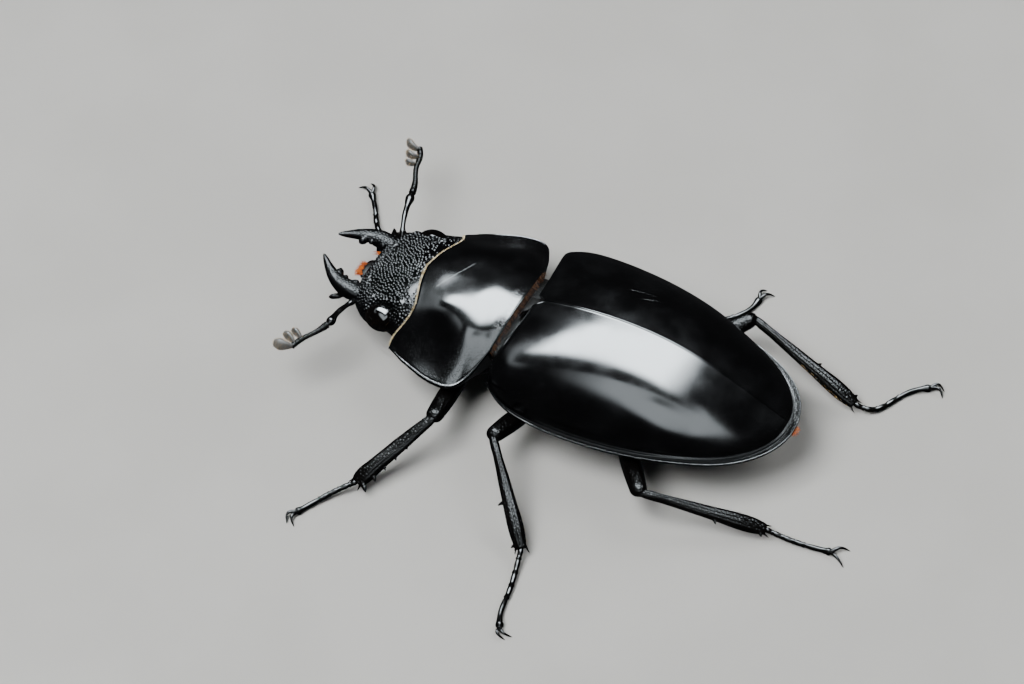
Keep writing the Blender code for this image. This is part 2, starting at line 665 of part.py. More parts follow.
def feeler(side):
    """An elbowed feeler: long scape, beaded middle and a club of leaves that reach forward."""
    base, elbow, beads_end, club_end = (np.array(p, float) for p in FEELERS[side])
    bow = (base + elbow) / 2 + np.array(SCAPE_BOW)
    scape = loft(tube(path_through([base, bow, elbow], 9), SCAPE_RADIUS, SCAPE_RADIUS, 7))
    item = as_object(f"antenna_{side}", scape)
    run = (beads_end - elbow) / FUNICLE_BEADS
    radii = []
    for number in range(FUNICLE_BEADS):
        radii.append((number / FUNICLE_BEADS, FUNICLE_WAIST))
        radii.append(((number + 0.6) / FUNICLE_BEADS, FUNICLE_RADIUS))
    radii.append((1.0, FUNICLE_WAIST))
    beads = np.linspace(elbow - run * 0.35, beads_end + run * 0.3, 3 * FUNICLE_BEADS + 1)
    pieces = [loft(tube(beads, radii, radii, 6))]
    stem = np.linspace(beads_end - run * 0.2, club_end, 2)
    pieces.append(loft(tube(stem, STEM_RADIUS, STEM_RADIUS, 6)))
    out = (club_end - beads_end) / np.linalg.norm(club_end - beads_end)
    for number, (reach, lean) in enumerate(CLUB_LEAVES):
        spot = beads_end + (club_end - beads_end) * (number / (len(CLUB_LEAVES) - 1))
        forward = np.array((0.0, -1.0, 0.0)) + out * lean
        path = np.linspace(spot - forward * LEAF_ROOT, spot + forward * reach, 6)
        pieces.append(loft(tube(path, LEAF_HALF_THICKNESS, LEAF_HALF_HEIGHT, 8)))
    boolean(item, pieces, "UNION")
    return finish(item, "feeler")


# Legs

def coxa_ends(name):
    hip = np.array(LEGS[name][0])
    toward = np.array((-math.copysign(COXA_INWARD, hip[0]), 0.0, COXA_RISE))
    return hip + toward, hip


def coxa_body(name, clearance=0.0):
    start, end = coxa_ends(name)
    run = (end - start) / np.linalg.norm(end - start)
    radius = COXA_RADIUS + clearance
    path = np.linspace(start - run * radius, end + run * (COXA_RADIUS * 0.35 + clearance), 7)
    round_ends = [(place, radius * share) for place, share in COXA_PROFILE]
    return loft(tube(path, round_ends, round_ends, 10))


def femur_body(name, clearance=0.0):
    hip, knee = (np.array(p) for p in LEGS[name][:2])
    run = (knee - hip) / np.linalg.norm(knee - hip)
    start = hip + run * (COXA_RADIUS * 0.75 + GAP - clearance)
    path = np.linspace(start, knee + run * (KNEE_OVERHANG + clearance), 9)
    half_width = grown(FEMUR_HALF_WIDTH, clearance)
    half_height = grown(FEMUR_HALF_HEIGHT, clearance)
    return loft(tube(path, half_width, half_height, 10))


def leg_room(pairs, clearance):
    """Cutters for the hollows in which the hips and thighs of some pairs of legs lie."""
    cutters = []
    for name in LEGS:
        if name.split("_")[0] in pairs:
            cutters += [coxa_body(name, clearance), femur_body(name, clearance)]
    return cutters


def foot_path(name, count):
    """Centre line of the foot from the end of the shin to the claws."""
    knee, end = (np.array(p) for p in LEGS[name][1:3])
    points = [np.array(p) for p in LEGS[name][3]]
    run = (points[0] - end) / np.linalg.norm(points[0] - end)
    return path_through([end + run * (GAP + 0.05), *points], count)


def foot_radii():
    """Half widths along a foot: each joint widens toward its far end."""
    radii = []
    short = (1 - LAST_SEGMENT_SHARE) / FOOT_SEGMENTS
    for number in range(FOOT_SEGMENTS):
        radii.append((number * short, FOOT_RADIUS * 0.55))
        radii.append(((number + 0.75) * short, FOOT_RADIUS))
    radii.append((1 - LAST_SEGMENT_SHARE, FOOT_RADIUS * 0.55))
    radii.append((1 - LAST_SEGMENT_SHARE * 0.5, FOOT_RADIUS * 0.8))
    radii.append((1 - LAST_SEGMENT_SHARE * 0.12, FOOT_RADIUS * 1.1))
    radii.append((1.0, FOOT_RADIUS * 0.7))
    return tuple(radii)


def rest_on_floor(body):
    """Flattens whatever would pass below the floor."""
    for vertex in body.verts:
        vertex.co.z = max(vertex.co.z, 0.0)
    return body


def foot_body(name, clearance=0.0):
    radii = grown(foot_radii(), clearance)
    return loft(tube(stretched(foot_path(name, FOOT_ROWS), clearance), radii, radii, 6))


def tibia(name):
    """A flattened shin with teeth along its outer edge and two spurs at its end."""
    pair = name.split("_")[0]
    knee, end = (np.array(p) for p in LEGS[name][1:3])
    run = (end - knee) / np.linalg.norm(end - knee)
    start = knee + run * TIBIA_START
    path = np.linspace(start, end, 9)
    item = as_object(f"tibia_{name}", loft(tube(path, TIBIA_HALF_WIDTH[pair], TIBIA_HALF_HEIGHT, 8)))
    level = np.array(Vector(run).cross(Vector((0, 0, 1))).normalized()) * OUTER_EDGE[name]
    pieces = []
    for place, reach, radius in TIBIA_TEETH[pair]:
        spot = start + (end - start) * place
        edge = read(TIBIA_HALF_WIDTH[pair], place)
        lean = level + run * TOOTH_LEAN
        tip = spot + level * edge + lean * reach
        pieces.append(cone(spot + level * (edge - TOOTH_SINK), tip, radius))
    for turn in (-1, 1):
        root = end - run * TOOTH_SINK - level * SPUR_ROOT * turn
        tip = end + run * SPUR_LENGTH * (0.75 + 0.1 * turn) - level * SPUR_SPREAD * turn
        pieces.append(cone(root, tip - np.array((0, 0, SPUR_DROP)), SPUR_RADIUS))
    boolean(item, pieces, "UNION")
    boolean(item, [femur_body(name, GAP), foot_body(name, GAP)], "DIFFERENCE")
    return finish(item, "leg")


def tarsus(name):
    """A jointed foot with a pair of curved claws, flat where it touches the floor."""
    path = foot_path(name, FOOT_ROWS)
    item = as_object(f"tarsus_{name}", rest_on_floor(foot_body(name)))
    run = Vector(path[-1] - path[-3]).normalized()
    angle, spread = CLAWS[name]
    turned = run.copy()
    turned.rotate(Matrix.Rotation(math.radians(angle), 3, "Z"))
    up = Vector((0, 0, 1))
    pieces = []
    for sign in (-1, 1):
        root = Vector(path[-2])
        bend = root + run * CLAW_LENGTH * 0.5 + run.cross(up) * spread * sign * 0.7 + up * 0.16
        tip = bend + turned * CLAW_LENGTH * 0.6 + turned.cross(up) * spread * sign * 0.5
        tip.z = CLAW_TIP_HEIGHT
        claw = tube(path_through([root, bend, tip], 6), CLAW_RADIUS, CLAW_RADIUS, 5)
        pieces.append(rest_on_floor(loft(claw)))
    boolean(item, pieces, "UNION")
    return finish(item, "leg")


def build():
    clear_scene()
    sides = ("left", "right")
    clear = GAP * 0.85
    wing_case("left")
    wing_case("right")
    scutellum()
    pronotum()
    sternum(leg_room(("mid", "hind"), clear))
    abdomen(leg_room(("hind",), clear))
    prosternum(leg_room(("front",), clear))
    sockets = [eye_body(side, clear) for side in sides]
    sockets += [jaw_body(side, clear) for side in sides]
    sockets += [palp_body(side, clear) for side in sides]
    sockets += [ellipsoid(FEELERS[side][0], (FEELER_SOCKET,) * 3, 6, 10) for side in sides]
    sockets.append(ellipsoid(LABRUM_CENTRE, [r + clear for r in LABRUM_RADII], 8, 14))
    head(sockets)
    labrum()
    for side in sides:
        finish(as_object(f"eye_{side}", eye_body(side)), "eye")
        mandible(side)
        finish(as_object(f"palp_{side}", palp_body(side)), "mouth")
        feeler(side)
    for name in LEGS:
        finish(as_object(f"coxa_{name}", coxa_body(name)), "leg")
        finish(as_object(f"femur_{name}", femur_body(name)), "leg")
        tibia(name)
        tarsus(name)


build()
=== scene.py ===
# %% [markdown]
# # A female stag beetle at life size
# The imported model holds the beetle's solids: plain closed shapes with a small gap between
# neighbours. This lesson dresses them. Each shell plate is built again as a fine surface from the
# same named sizes, pits and bristles are grown on it with Geometry Nodes, and each surface gets a
# material made of nodes.

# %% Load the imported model
import math

import bmesh
import bpy
import numpy as np
from mathutils import Matrix, Vector


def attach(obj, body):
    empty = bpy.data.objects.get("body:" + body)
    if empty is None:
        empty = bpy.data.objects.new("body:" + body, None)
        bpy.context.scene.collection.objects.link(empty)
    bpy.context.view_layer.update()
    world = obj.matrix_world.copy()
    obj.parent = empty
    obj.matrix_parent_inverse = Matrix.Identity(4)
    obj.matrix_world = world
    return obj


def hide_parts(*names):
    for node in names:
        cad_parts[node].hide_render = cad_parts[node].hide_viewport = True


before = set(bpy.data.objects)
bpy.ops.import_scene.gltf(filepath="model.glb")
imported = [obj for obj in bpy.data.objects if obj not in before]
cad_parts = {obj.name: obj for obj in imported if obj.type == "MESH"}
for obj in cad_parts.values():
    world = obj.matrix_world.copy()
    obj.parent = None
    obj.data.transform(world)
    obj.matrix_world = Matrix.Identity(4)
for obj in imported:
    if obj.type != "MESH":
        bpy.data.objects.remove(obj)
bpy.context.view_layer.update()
print("nodes in the frame:", len(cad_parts))

# %% [markdown]
# ## Body coordinates
# A beetle is easiest to describe in its own millimetres: x to its left, y back from the jaw tips,
# z up from the floor. Every piece is made in those units and brought into the shared frame, in
# metres, by one matrix at the end. Shapes with sizes near 1 also suit the remesher, which has a
# smallest voxel that would be too coarse in metres.

# %% The matrix from body millimetres to the shared frame
MM = 0.001
FOOTPRINT_MIDDLE = Vector((4.85, 23.72, 0.0))
TO_FRAME = Matrix.Scale(MM, 4) @ Matrix.Translation(-FOOTPRINT_MIDDLE)
SIDES = {"left": 1, "right": -1}
print("body origin in the frame:", [round(v, 4) for v in TO_FRAME @ Vector((0, 0, 0))])

# %% [markdown]
# ## The camera
# The view is from behind the beetle's left shoulder, high enough to see its whole back. A long
# lens from a third of a metre keeps the legs' proportions, as a macro photographer would have it.

# %% Set the camera
CAMERA_TARGET = (2.59, 18.43, 5.6)
CAMERA_AZIMUTH = math.radians(117.5)
CAMERA_ELEVATION = math.radians(50.0)
CAMERA_DISTANCE = 333.0
CAMERA_LENS = 140.0


def direction(azimuth, elevation):
    """The unit vector from the beetle toward a place seen at these angles."""
    level = math.cos(elevation)
    return Vector((math.sin(azimuth) * level, -math.cos(azimuth) * level, math.sin(elevation)))


camera = bpy.data.objects.new("camera", bpy.data.cameras.new("camera"))
camera.data.lens = CAMERA_LENS
camera.data.clip_start = 0.01
toward_camera = direction(CAMERA_AZIMUTH, CAMERA_ELEVATION)
camera.location = TO_FRAME @ (Vector(CAMERA_TARGET) + toward_camera * CAMERA_DISTANCE)
camera.rotation_euler = toward_camera.to_track_quat("Z", "Y").to_euler()
bpy.context.scene.collection.objects.link(camera)
bpy.context.scene.camera = camera
print("camera at", [round(v, 4) for v in camera.location])

# %% [markdown]
# ## Node helpers
# Materials and Geometry Nodes are both node trees. Two short helpers keep the code that builds
# them readable: one adds a node and fills or links its sockets, the other does arithmetic.

# %% Add a node, and do sums with nodes


def add_node(tree, kind, feeds=None, **settings):
    """Adds a node; feeds gives each socket a value or the output that drives it."""
    made = tree.nodes.new(kind)
    for key, value in settings.items():
        setattr(made, key, value)
    for key, value in (feeds or {}).items():
        if isinstance(value, bpy.types.NodeSocket):
            tree.links.new(value, made.inputs[key])
        else:
            made.inputs[key].default_value = value
    return made


def calc(tree, operation, *values):
    """The result of one Math node."""
    return add_node(tree, "ShaderNodeMath", dict(enumerate(values)), operation=operation).outputs[0]


def remap(tree, value, low, high, to_low=0.0, to_high=1.0):
    """Moves a value from one range to another, kept within it, with soft ends."""
    feeds = {"Value": value, "From Min": low, "From Max": high, "To Min": to_low, "To Max": to_high}
    return add_node(tree, "ShaderNodeMapRange", feeds, interpolation_type="SMOOTHSTEP").outputs["Result"]


# %% [markdown]
# ## Floor
# A museum model stands on a plain ground. A flat card with a faint mottle is enough. It is pale, so
# that thin black legs stand out, and it keeps out of the reflections, so that the shell stays black.

# %% Floor
FLOOR_HALF = 1.5
FLOOR_TINTS = (0.52, 0.52, 0.50, 1), (0.55, 0.55, 0.53, 1)
FLOOR_ROUGHNESS = 0.9
MOTTLE_SCALE, MOTTLE_SPAN = 60.0, (0.35, 0.65)

floor_mesh = bpy.data.meshes.new("floor")
floor_corners = [(x * FLOOR_HALF, y * FLOOR_HALF, 0) for x, y in ((-1, -1), (1, -1), (1, 1), (-1, 1))]
floor_mesh.from_pydata(floor_corners, [], [(0, 1, 2, 3)])
floor = bpy.data.objects.new("floor", floor_mesh)
bpy.context.scene.collection.objects.link(floor)
floor_paint = bpy.data.materials.new("pale_floor")
floor_paint.use_nodes = True
tree = floor_paint.node_tree
place = add_node(tree, "ShaderNodeTexCoord").outputs["Object"]
mottle = add_node(tree, "ShaderNodeTexNoise", {"Vector": place, "Scale": MOTTLE_SCALE, "Detail": 4.0})
tint = add_node(tree, "ShaderNodeMix", {
    "Factor": remap(tree, mottle.outputs["Fac"], *MOTTLE_SPAN), "A": FLOOR_TINTS[0], "B": FLOOR_TINTS[1],
}, data_type="RGBA")
floor_shader = tree.nodes["Principled BSDF"]
tree.links.new(tint.outputs["Result"], floor_shader.inputs["Base Color"])
floor_shader.inputs["Roughness"].default_value = FLOOR_ROUGHNESS
floor_shader.inputs["Specular IOR Level"].default_value = 0.0
floor_mesh.materials.append(floor_paint)
floor.visible_glossy = False
print("floor is", 2 * FLOOR_HALF, "m wide")

# %% [markdown]
# ## Light
# The beetle is black and mirror-smooth, so what shows is mostly what it reflects. Three soft panels
# lie flat overhead: a bright one, whose image falls on the near wing case and the middle of the
# thorax, a faint glow that softens its lower end, and a dim one beside it, which gives the second,
# grey image with a dark bar across. They light reflections only, as a card held over a glossy
# product does. A picture of a sky would do it too, but panels can be moved until each reflection
# sits where it should. Two soft lamps light whatever is dull: the floor, the bristles and the
# velvet of the feelers. The room itself is nearly dark.

# %% Sizes of the panels and lamps
PANEL_HEIGHT = 600.0
PANEL_COLOUR = (0.86, 0.95, 1.0)
# Each panel: the span in x and in y of its image, as slopes from straight up; its radiance; and its
# soft edges. An edge gives the weights of x and y, where it is dark and where it is fully bright.
PANELS = {
    "bright_panel": ((-0.75, 0.2), (-0.85, 0.5), 48.0, (
        (1.0, 0.0, -0.71, -0.58), (1.0, -0.2, 0.05, -0.1), (0.0, 1.0, -0.82, -0.6), (0.0, 1.0, 0.41, 0.14),
        (1.0, 1.0, -1.4, -1.16),
    )),
    "glow_panel": ((-0.65, 0.5), (-1.15, -0.5), 3.6, (
        (1.0, 0.0, -0.62, -0.25), (1.0, 0.0, 0.48, 0.1), (0.0, 1.0, -1.14, -0.84), (0.0, 1.0, -0.55, -0.8),
    )),
    "grey_panel": ((-0.15, 1.65), (-0.42, 0.9), 5.6, (
        (1.0, 0.0, -0.14, 0.0), (1.0, -0.95, 0.9, 0.55), (1.0, -1.1, -0.62, -0.5), (0.0, 1.0, -0.42, -0.08),
        (0.0, 1.0, 0.85, 0.68),
    )),
}
# The dark bar of a panel: centre and half width in x and in y, its shade, and where it fades, as
# shares of its half width
CROSSBARS = {"grey_panel": ((0.31, 0.1), (0.33, 0.14))}
CROSSBAR_SHADE = 0.75
CROSSBAR_CORE, CROSSBAR_END = 0.3, 1.3
# Each lamp: azimuth, elevation, distance and width (mm), power (W)
LAMPS = {
    "key_lamp": (60, 62, 700, 420, 7.4),
    "fill_lamp": (-120, 45, 800, 500, 2.7),
}
ROOM_COLOUR, ROOM_STRENGTH = (0.9, 0.95, 1.0, 1), 0.03

# %% Panels for the reflections


def panel_glow(tree, x, y, edges, crossbar):
    """How bright a panel is at a place: its soft edges, and the bar across it, if any."""
    glow = 1.0
    for x_weight, y_weight, dark, full in edges:
        place = calc(tree, "ADD", calc(tree, "MULTIPLY", x, x_weight), calc(tree, "MULTIPLY", y, y_weight))
        ends = (0.0, 1.0) if dark < full else (1.0, 0.0)
        glow = calc(tree, "MULTIPLY", glow, remap(tree, place, min(dark, full), max(dark, full), *ends))
    if not crossbar:
        return glow
    bar = CROSSBAR_SHADE
    for value, (centre, half) in zip((x, y), crossbar):
        away = calc(tree, "ABSOLUTE", calc(tree, "SUBTRACT", value, centre))
        shade = remap(tree, away, half * CROSSBAR_CORE, half * CROSSBAR_END, 1.0, 0.0)
        bar = calc(tree, "MULTIPLY", bar, shade)
    return calc(tree, "MULTIPLY", glow, calc(tree, "SUBTRACT", 1.0, bar))


def overhead_panel(name, x_span, y_span, radiance, edges):
    """A soft panel that only shows in reflections."""
    width, depth = ((span[1] - span[0]) * PANEL_HEIGHT * MM for span in (x_span, y_span))
    light = bpy.data.lights.new(name, "AREA")
    light.shape = "RECTANGLE"
    light.size, light.size_y = width, depth
    light.energy = radiance * math.pi * width * depth
    light.color = PANEL_COLOUR
    light.use_nodes = True
    tree = light.node_tree
    spot = add_node(tree, "ShaderNodeNewGeometry").outputs["Position"]
    split = add_node(tree, "ShaderNodeSeparateXYZ", {"Vector": spot})
    x, y = (calc(tree, "DIVIDE", split.outputs[axis], PANEL_HEIGHT * MM) for axis in "XY")
    glow = panel_glow(tree, x, y, edges, CROSSBARS.get(name))
    tree.links.new(glow, tree.nodes["Emission"].inputs["Strength"])
    lamp = bpy.data.objects.new(name, light)
    lamp.location = [sum(span) / 2 * PANEL_HEIGHT * MM for span in (x_span, y_span)] + [PANEL_HEIGHT * MM]
    lamp.visible_diffuse = False
    bpy.context.scene.collection.objects.link(lamp)


for panel_name, panel in PANELS.items():
    overhead_panel(panel_name, *panel)
print("panels:", ", ".join(PANELS))

# %% Lamps for what is dull, and the room


def soft_lamp(name, azimuth, elevation, distance, width, power):
    """A soft lamp that lights dull surfaces."""
    light = bpy.data.lights.new(name, "AREA")
    light.size = width * MM
    light.energy = power
    lamp = bpy.data.objects.new(name, light)
    aim = direction(math.radians(azimuth), math.radians(elevation))
    lamp.location = TO_FRAME @ (Vector(CAMERA_TARGET) + aim * distance)
    lamp.rotation_euler = aim.to_track_quat("Z", "Y").to_euler()
    lamp.visible_glossy = False
    bpy.context.scene.collection.objects.link(lamp)


for lamp_name, lamp in LAMPS.items():
    soft_lamp(lamp_name, *lamp)
room = bpy.data.worlds.new("dim_room")
room.use_nodes = True
room.node_tree.nodes["Background"].inputs["Color"].default_value = ROOM_COLOUR
room.node_tree.nodes["Background"].inputs["Strength"].default_value = ROOM_STRENGTH
bpy.context.scene.world = room
print("lamps:", ", ".join(LAMPS))

# %% [markdown]
# ## Curves
# An insect's plates are smooth, so each is lofted: a few stations name the width and height along
# the body, and a natural cubic spline runs through them. Straight runs and arcs would be simpler,
# but a spline has no jumps in curvature, which matters on a mirror-like shell, because the eye sees
# every kink in a reflection.

# %% Splines
# Steps for each given point, when the length of a path is measured
FINE_STEPS = 200


def spline(stations, at):
    """Natural cubic spline through (place, value...) stations, read at the places in at."""
    table = np.array(stations, float)
    x, y = table[:, 0], table[:, 1:]
    step = np.diff(x)[:, None]
    slope = np.diff(y, axis=0) / step
    count = len(x)
    system = np.eye(count)
    bend = np.zeros_like(y)
    for i in range(1, count - 1):
        system[i, i - 1 : i + 2] = step[i - 1, 0], 2 * (step[i - 1, 0] + step[i, 0]), step[i, 0]
        bend[i] = 6 * (slope[i] - slope[i - 1])
    bend = np.linalg.solve(system, bend)
    at = np.clip(np.atleast_1d(np.asarray(at, float)), x[0], x[-1])
    k = np.clip(np.searchsorted(x, at) - 1, 0, count - 2)
    h = step[k]
    a = (x[k + 1] - at)[:, None] / h
    b = 1 - a
    value = a * y[k] + b * y[k + 1] + ((a**3 - a) * bend[k] + (b**3 - b) * bend[k + 1]) * h**2 / 6
    return value[:, 0] if value.shape[1] == 1 else value


def path_through(points, count):
    """count points evenly spaced along a smooth curve through the given ones."""
    points = np.array(points, float)
    walk = np.r_[0, np.cumsum(np.linalg.norm(np.diff(points, axis=0), axis=1))]
    fine = spline(np.column_stack([walk, points]), np.linspace(0, walk[-1], FINE_STEPS * len(points)))
    length = np.r_[0, np.cumsum(np.linalg.norm(np.diff(fine, axis=0), axis=1))]
    even = np.linspace(0, length[-1], count)
    return np.column_stack([np.interp(even, length, fine[:, k]) for k in range(fine.shape[1])])


def bump_at(value, centre, width):
    """A smooth bump of height 1 at centre."""
    return np.exp(-(((value - centre) / width) ** 2))


# %% [markdown]
# ## Surfaces
# Cross sections with equally many points are joined into a grid of quads. A tube along a path, a
# spine and an egg shape are all made of such rings, so one function turns them into a mesh. Poles
# and seams are merged afterwards and the faces turned outward, so that every piece is closed.

# %% From rings to a mesh
MERGE_DISTANCE = 1e-4


def surface(name, rings, caps=True):
    """An object through closed rings of equally many points, in body millimetres."""
    rings = np.array(rings, float)
    rows, points = rings.shape[:2]
    index = np.arange(rows * points).reshape(rows, points)
    near, far = index[:-1], index[1:]
    near_next, far_next = (np.roll(row, -1, axis=1) for row in (near, far))
    faces = np.stack([near, near_next, far_next, far], axis=-1).reshape(-1, 4).tolist()
    if caps:
        faces += [index[0, ::-1].tolist(), index[-1].tolist()]
    mesh = bpy.data.meshes.new(name)
    mesh.from_pydata(rings.reshape(-1, 3).tolist(), [], faces)
    return linked(name, mesh)


def linked(name, mesh):
    """A new object in the scene with this mesh."""
    item = bpy.data.objects.new(name, mesh)
    bpy.context.scene.collection.objects.link(item)
    return item


def heal(item):
    """Merges doubled corners at poles and turns the faces outward."""
    body = bmesh.new()
    body.from_mesh(item.data)
    bmesh.ops.remove_doubles(body, verts=body.verts, dist=MERGE_DISTANCE)
    bmesh.ops.dissolve_degenerate(body, edges=body.edges, dist=MERGE_DISTANCE / 10)
    bmesh.ops.recalc_face_normals(body, faces=body.faces)
    body.to_mesh(item.data)
    body.free()
    return item


def joined(name, items):
    """One object from several, which are removed."""
    body = bmesh.new()
    for item in items:
        body.from_mesh(item.data)
        mesh = item.data
        bpy.data.objects.remove(item, do_unlink=True)
        bpy.data.meshes.remove(mesh)
    mesh = bpy.data.meshes.new(name)
    body.to_mesh(mesh)
    body.free()
    return linked(name, mesh)


# %% Tubes, spines and eggs
FLUTE_SHARPNESS = 8
SPIKE_TAPER = ((0, 1.0), (0.35, 0.78), (0.75, 0.42), (1.0, 0.08))
SPIKE_SIDES, SPIKE_ROWS = 12, 8


def tube(path, half_width, half_height, sides, roundness=2.0, flutes=0, flute_depth=0.0):
    """Rings of an oval section along a path; its width lies level. Flutes are lengthwise grooves."""
    path = np.array(path, float)
    share = np.linspace(0, 1, len(path))
    widths, heights = spline(half_width, share), spline(half_height, share)
    run = np.gradient(path, axis=0)
    run /= np.linalg.norm(run, axis=1)[:, None]
    side = np.cross(run, (0, 0, 1))
    side /= np.linalg.norm(side, axis=1)[:, None]
    over = np.cross(side, run)
    angle = math.tau * np.arange(sides) / sides
    across = np.sign(np.cos(angle)) * np.abs(np.cos(angle)) ** (2 / roundness)
    rise = np.sign(np.sin(angle)) * np.abs(np.sin(angle)) ** (2 / roundness)
    groove = 1 - flute_depth * np.abs(np.cos(angle * flutes / 2)) ** FLUTE_SHARPNESS if flutes else 1.0
    wide = (side * widths[:, None])[:, None, :] * (across * groove)[None, :, None]
    tall = (over * heights[:, None])[:, None, :] * (rise * groove)[None, :, None]
    return path[:, None, :] + wide + tall


def mirrored(points):
    """The points on the other side of the body."""
    return [(-p[0], *p[1:]) for p in points]


def sided(side, points):
    """The points as given for the left, mirrored for the right."""
    return list(points) if side == "left" else mirrored(points)


def tapered(shape, size):
    """A shape of shares and widths, with the widths scaled to a size."""
    return [(share, width * size) for share, width in shape]


def spike(root, tip, radius, bend=(0, 0, 0)):
    """A curved spine with a rounded root."""
    middle = (root + tip) / 2 + np.array(bend)
    path = path_through([root, middle, tip], SPIKE_ROWS)
    taper = tapered(SPIKE_TAPER, radius)
    return heal(surface("spike", tube(path, taper, taper, SPIKE_SIDES)))


def rounded(name, centre, radii, rows, sides):
    """A smooth egg shape, for eyes and the lip."""
    polar = np.linspace(0, math.pi, rows)
    turn = math.tau * np.arange(sides) / sides
    rings = np.empty((rows, sides, 3))
    rings[..., 0] = centre[0] + radii[0] * np.sin(polar)[:, None] * np.cos(turn)
    rings[..., 1] = centre[1] + radii[1] * np.cos(polar)[:, None]
    rings[..., 2] = centre[2] + radii[2] * np.sin(polar)[:, None] * np.sin(turn)
    return heal(surface(name, rings, caps=False))


# %% [markdown]
# ## From parts to a finished piece
# A jaw or a shin grows out of one skin, so its overlapping parts are fused by a voxel remesh, which
# leaves a soft fillet where they meet. A Boolean would leave a hard crease. Masks are numbers kept
# on the vertices, for materials and node trees to read. The last helper brings a piece into the
# shared frame, gives it its material and hides the solids that it stands for.

# %% Fusing, masks and settling


def apply_modifiers(item):
    """Turns the object's modifiers into plain mesh."""
    graph = bpy.context.evaluated_depsgraph_get()
    result = bpy.data.meshes.new_from_object(
        item.evaluated_get(graph), preserve_all_data_layers=True, depsgraph=graph
    )
    item.modifiers.clear()
    old = item.data
    item.data = result
    bpy.data.meshes.remove(old)
    return item


def fused(name, items, voxel, smoothing):
    """One skin over overlapping bodies, with soft fillets where they meet."""
    item = joined(name, items)
    remesh = item.modifiers.new("fuse", "REMESH")
    remesh.mode = "VOXEL"
    remesh.voxel_size = voxel
    soften = item.modifiers.new("soften", "SMOOTH")
    soften.factor = 0.5
    soften.iterations = smoothing
    return apply_modifiers(item)


def vertices_of(item):
    """The places of the vertices, one row each."""
    spots = np.empty(len(item.data.vertices) * 3)
    item.data.vertices.foreach_get("co", spots)
    return spots.reshape(-1, 3)


def paint_mask(item, name, values):
    """Stores one number per vertex, for nodes to read."""
    layer = item.data.attributes.new(name, "FLOAT", "POINT")
    layer.data.foreach_set("value", np.asarray(values, np.float32))


def settle(item, material, nodes=(), crease=50):
    """Brings a finished piece into the shared frame and hides the solids it stands for, if any."""
    item.data.transform(TO_FRAME)
    item.data.materials.clear()
    item.data.materials.append(material)
    item.data.shade_smooth()
    item.data.set_sharp_from_angle(angle=math.radians(crease))
    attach(item, "root")
    if nodes:
        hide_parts(*nodes)
    print(f"{item.name}: {len(item.data.polygons)} faces")
    return item


# %% [markdown]
# ## Shell materials
# The shell of a stag beetle is black chitin, smoother than most lacquer. Its colour is nearly the
# same everywhere, so the finish comes from relief: a very fine skin texture, fine points where the
# plate has them, a broad waviness that makes the edges of a reflection cloudy, and the few long
# scratches of a life under bark. Such small relief could be modelled, but a bump made of noise and
# cells costs no faces. It is made on object coordinates, in metres, so it keeps its scale on every
# plate.

# %% Scratches
GOUGE_HALF, GOUGE_DEPTH = 0.018, 0.004
GOUGE_TAPER = 0.6


def gouge(tree, place, start, end):
    """1 along a straight scratch seen from above, 0 beside it."""
    start, end = (TO_FRAME @ Vector((*spot, 0.0)) for spot in (start, end))
    start.z = end.z = 0.0
    run = (end - start).normalized()
    from_start = add_node(tree, "ShaderNodeVectorMath", {0: place, 1: tuple(start)}, operation="SUBTRACT")
    parts = []
    for axis in ((run.x, run.y, 0.0), (-run.y, run.x, 0.0)):
        dot = add_node(tree, "ShaderNodeVectorMath", {
            0: from_start.outputs["Vector"], 1: axis,
        }, operation="DOT_PRODUCT")
        parts.append(dot.outputs["Value"])
    half = (end - start).length / 2
    along = calc(tree, "DIVIDE", calc(tree, "ABSOLUTE", calc(tree, "SUBTRACT", parts[0], half)), half)
    across = calc(tree, "DIVIDE", calc(tree, "ABSOLUTE", parts[1]), GOUGE_HALF * MM)
    narrow = remap(tree, across, 0.0, 1.0, 1.0, 0.0)
    return calc(tree, "MULTIPLY", narrow, remap(tree, along, GOUGE_TAPER, 1.0, 1.0, 0.0))


# %% A black shell with points and scratches
CHITIN_IOR = 1.56
MICROMETRE = 1e-6
CLOUD_SCALE, SWELL_SCALE, GRAIN_SCALE = 420.0, 330.0, 9000.0
POINT_SCATTER, POINT_SLOPE = 0.85, (0.14, 0.5)
# Where the slow noise makes the shell duller and how much, and where it shows the worn colour
DULL_CLOUDS, DULL_SPAN = (0.3, 0.75), (0.8, 1.35)
WORN_CLOUDS, WORN_GAIN = (0.35, 0.7), 1.7


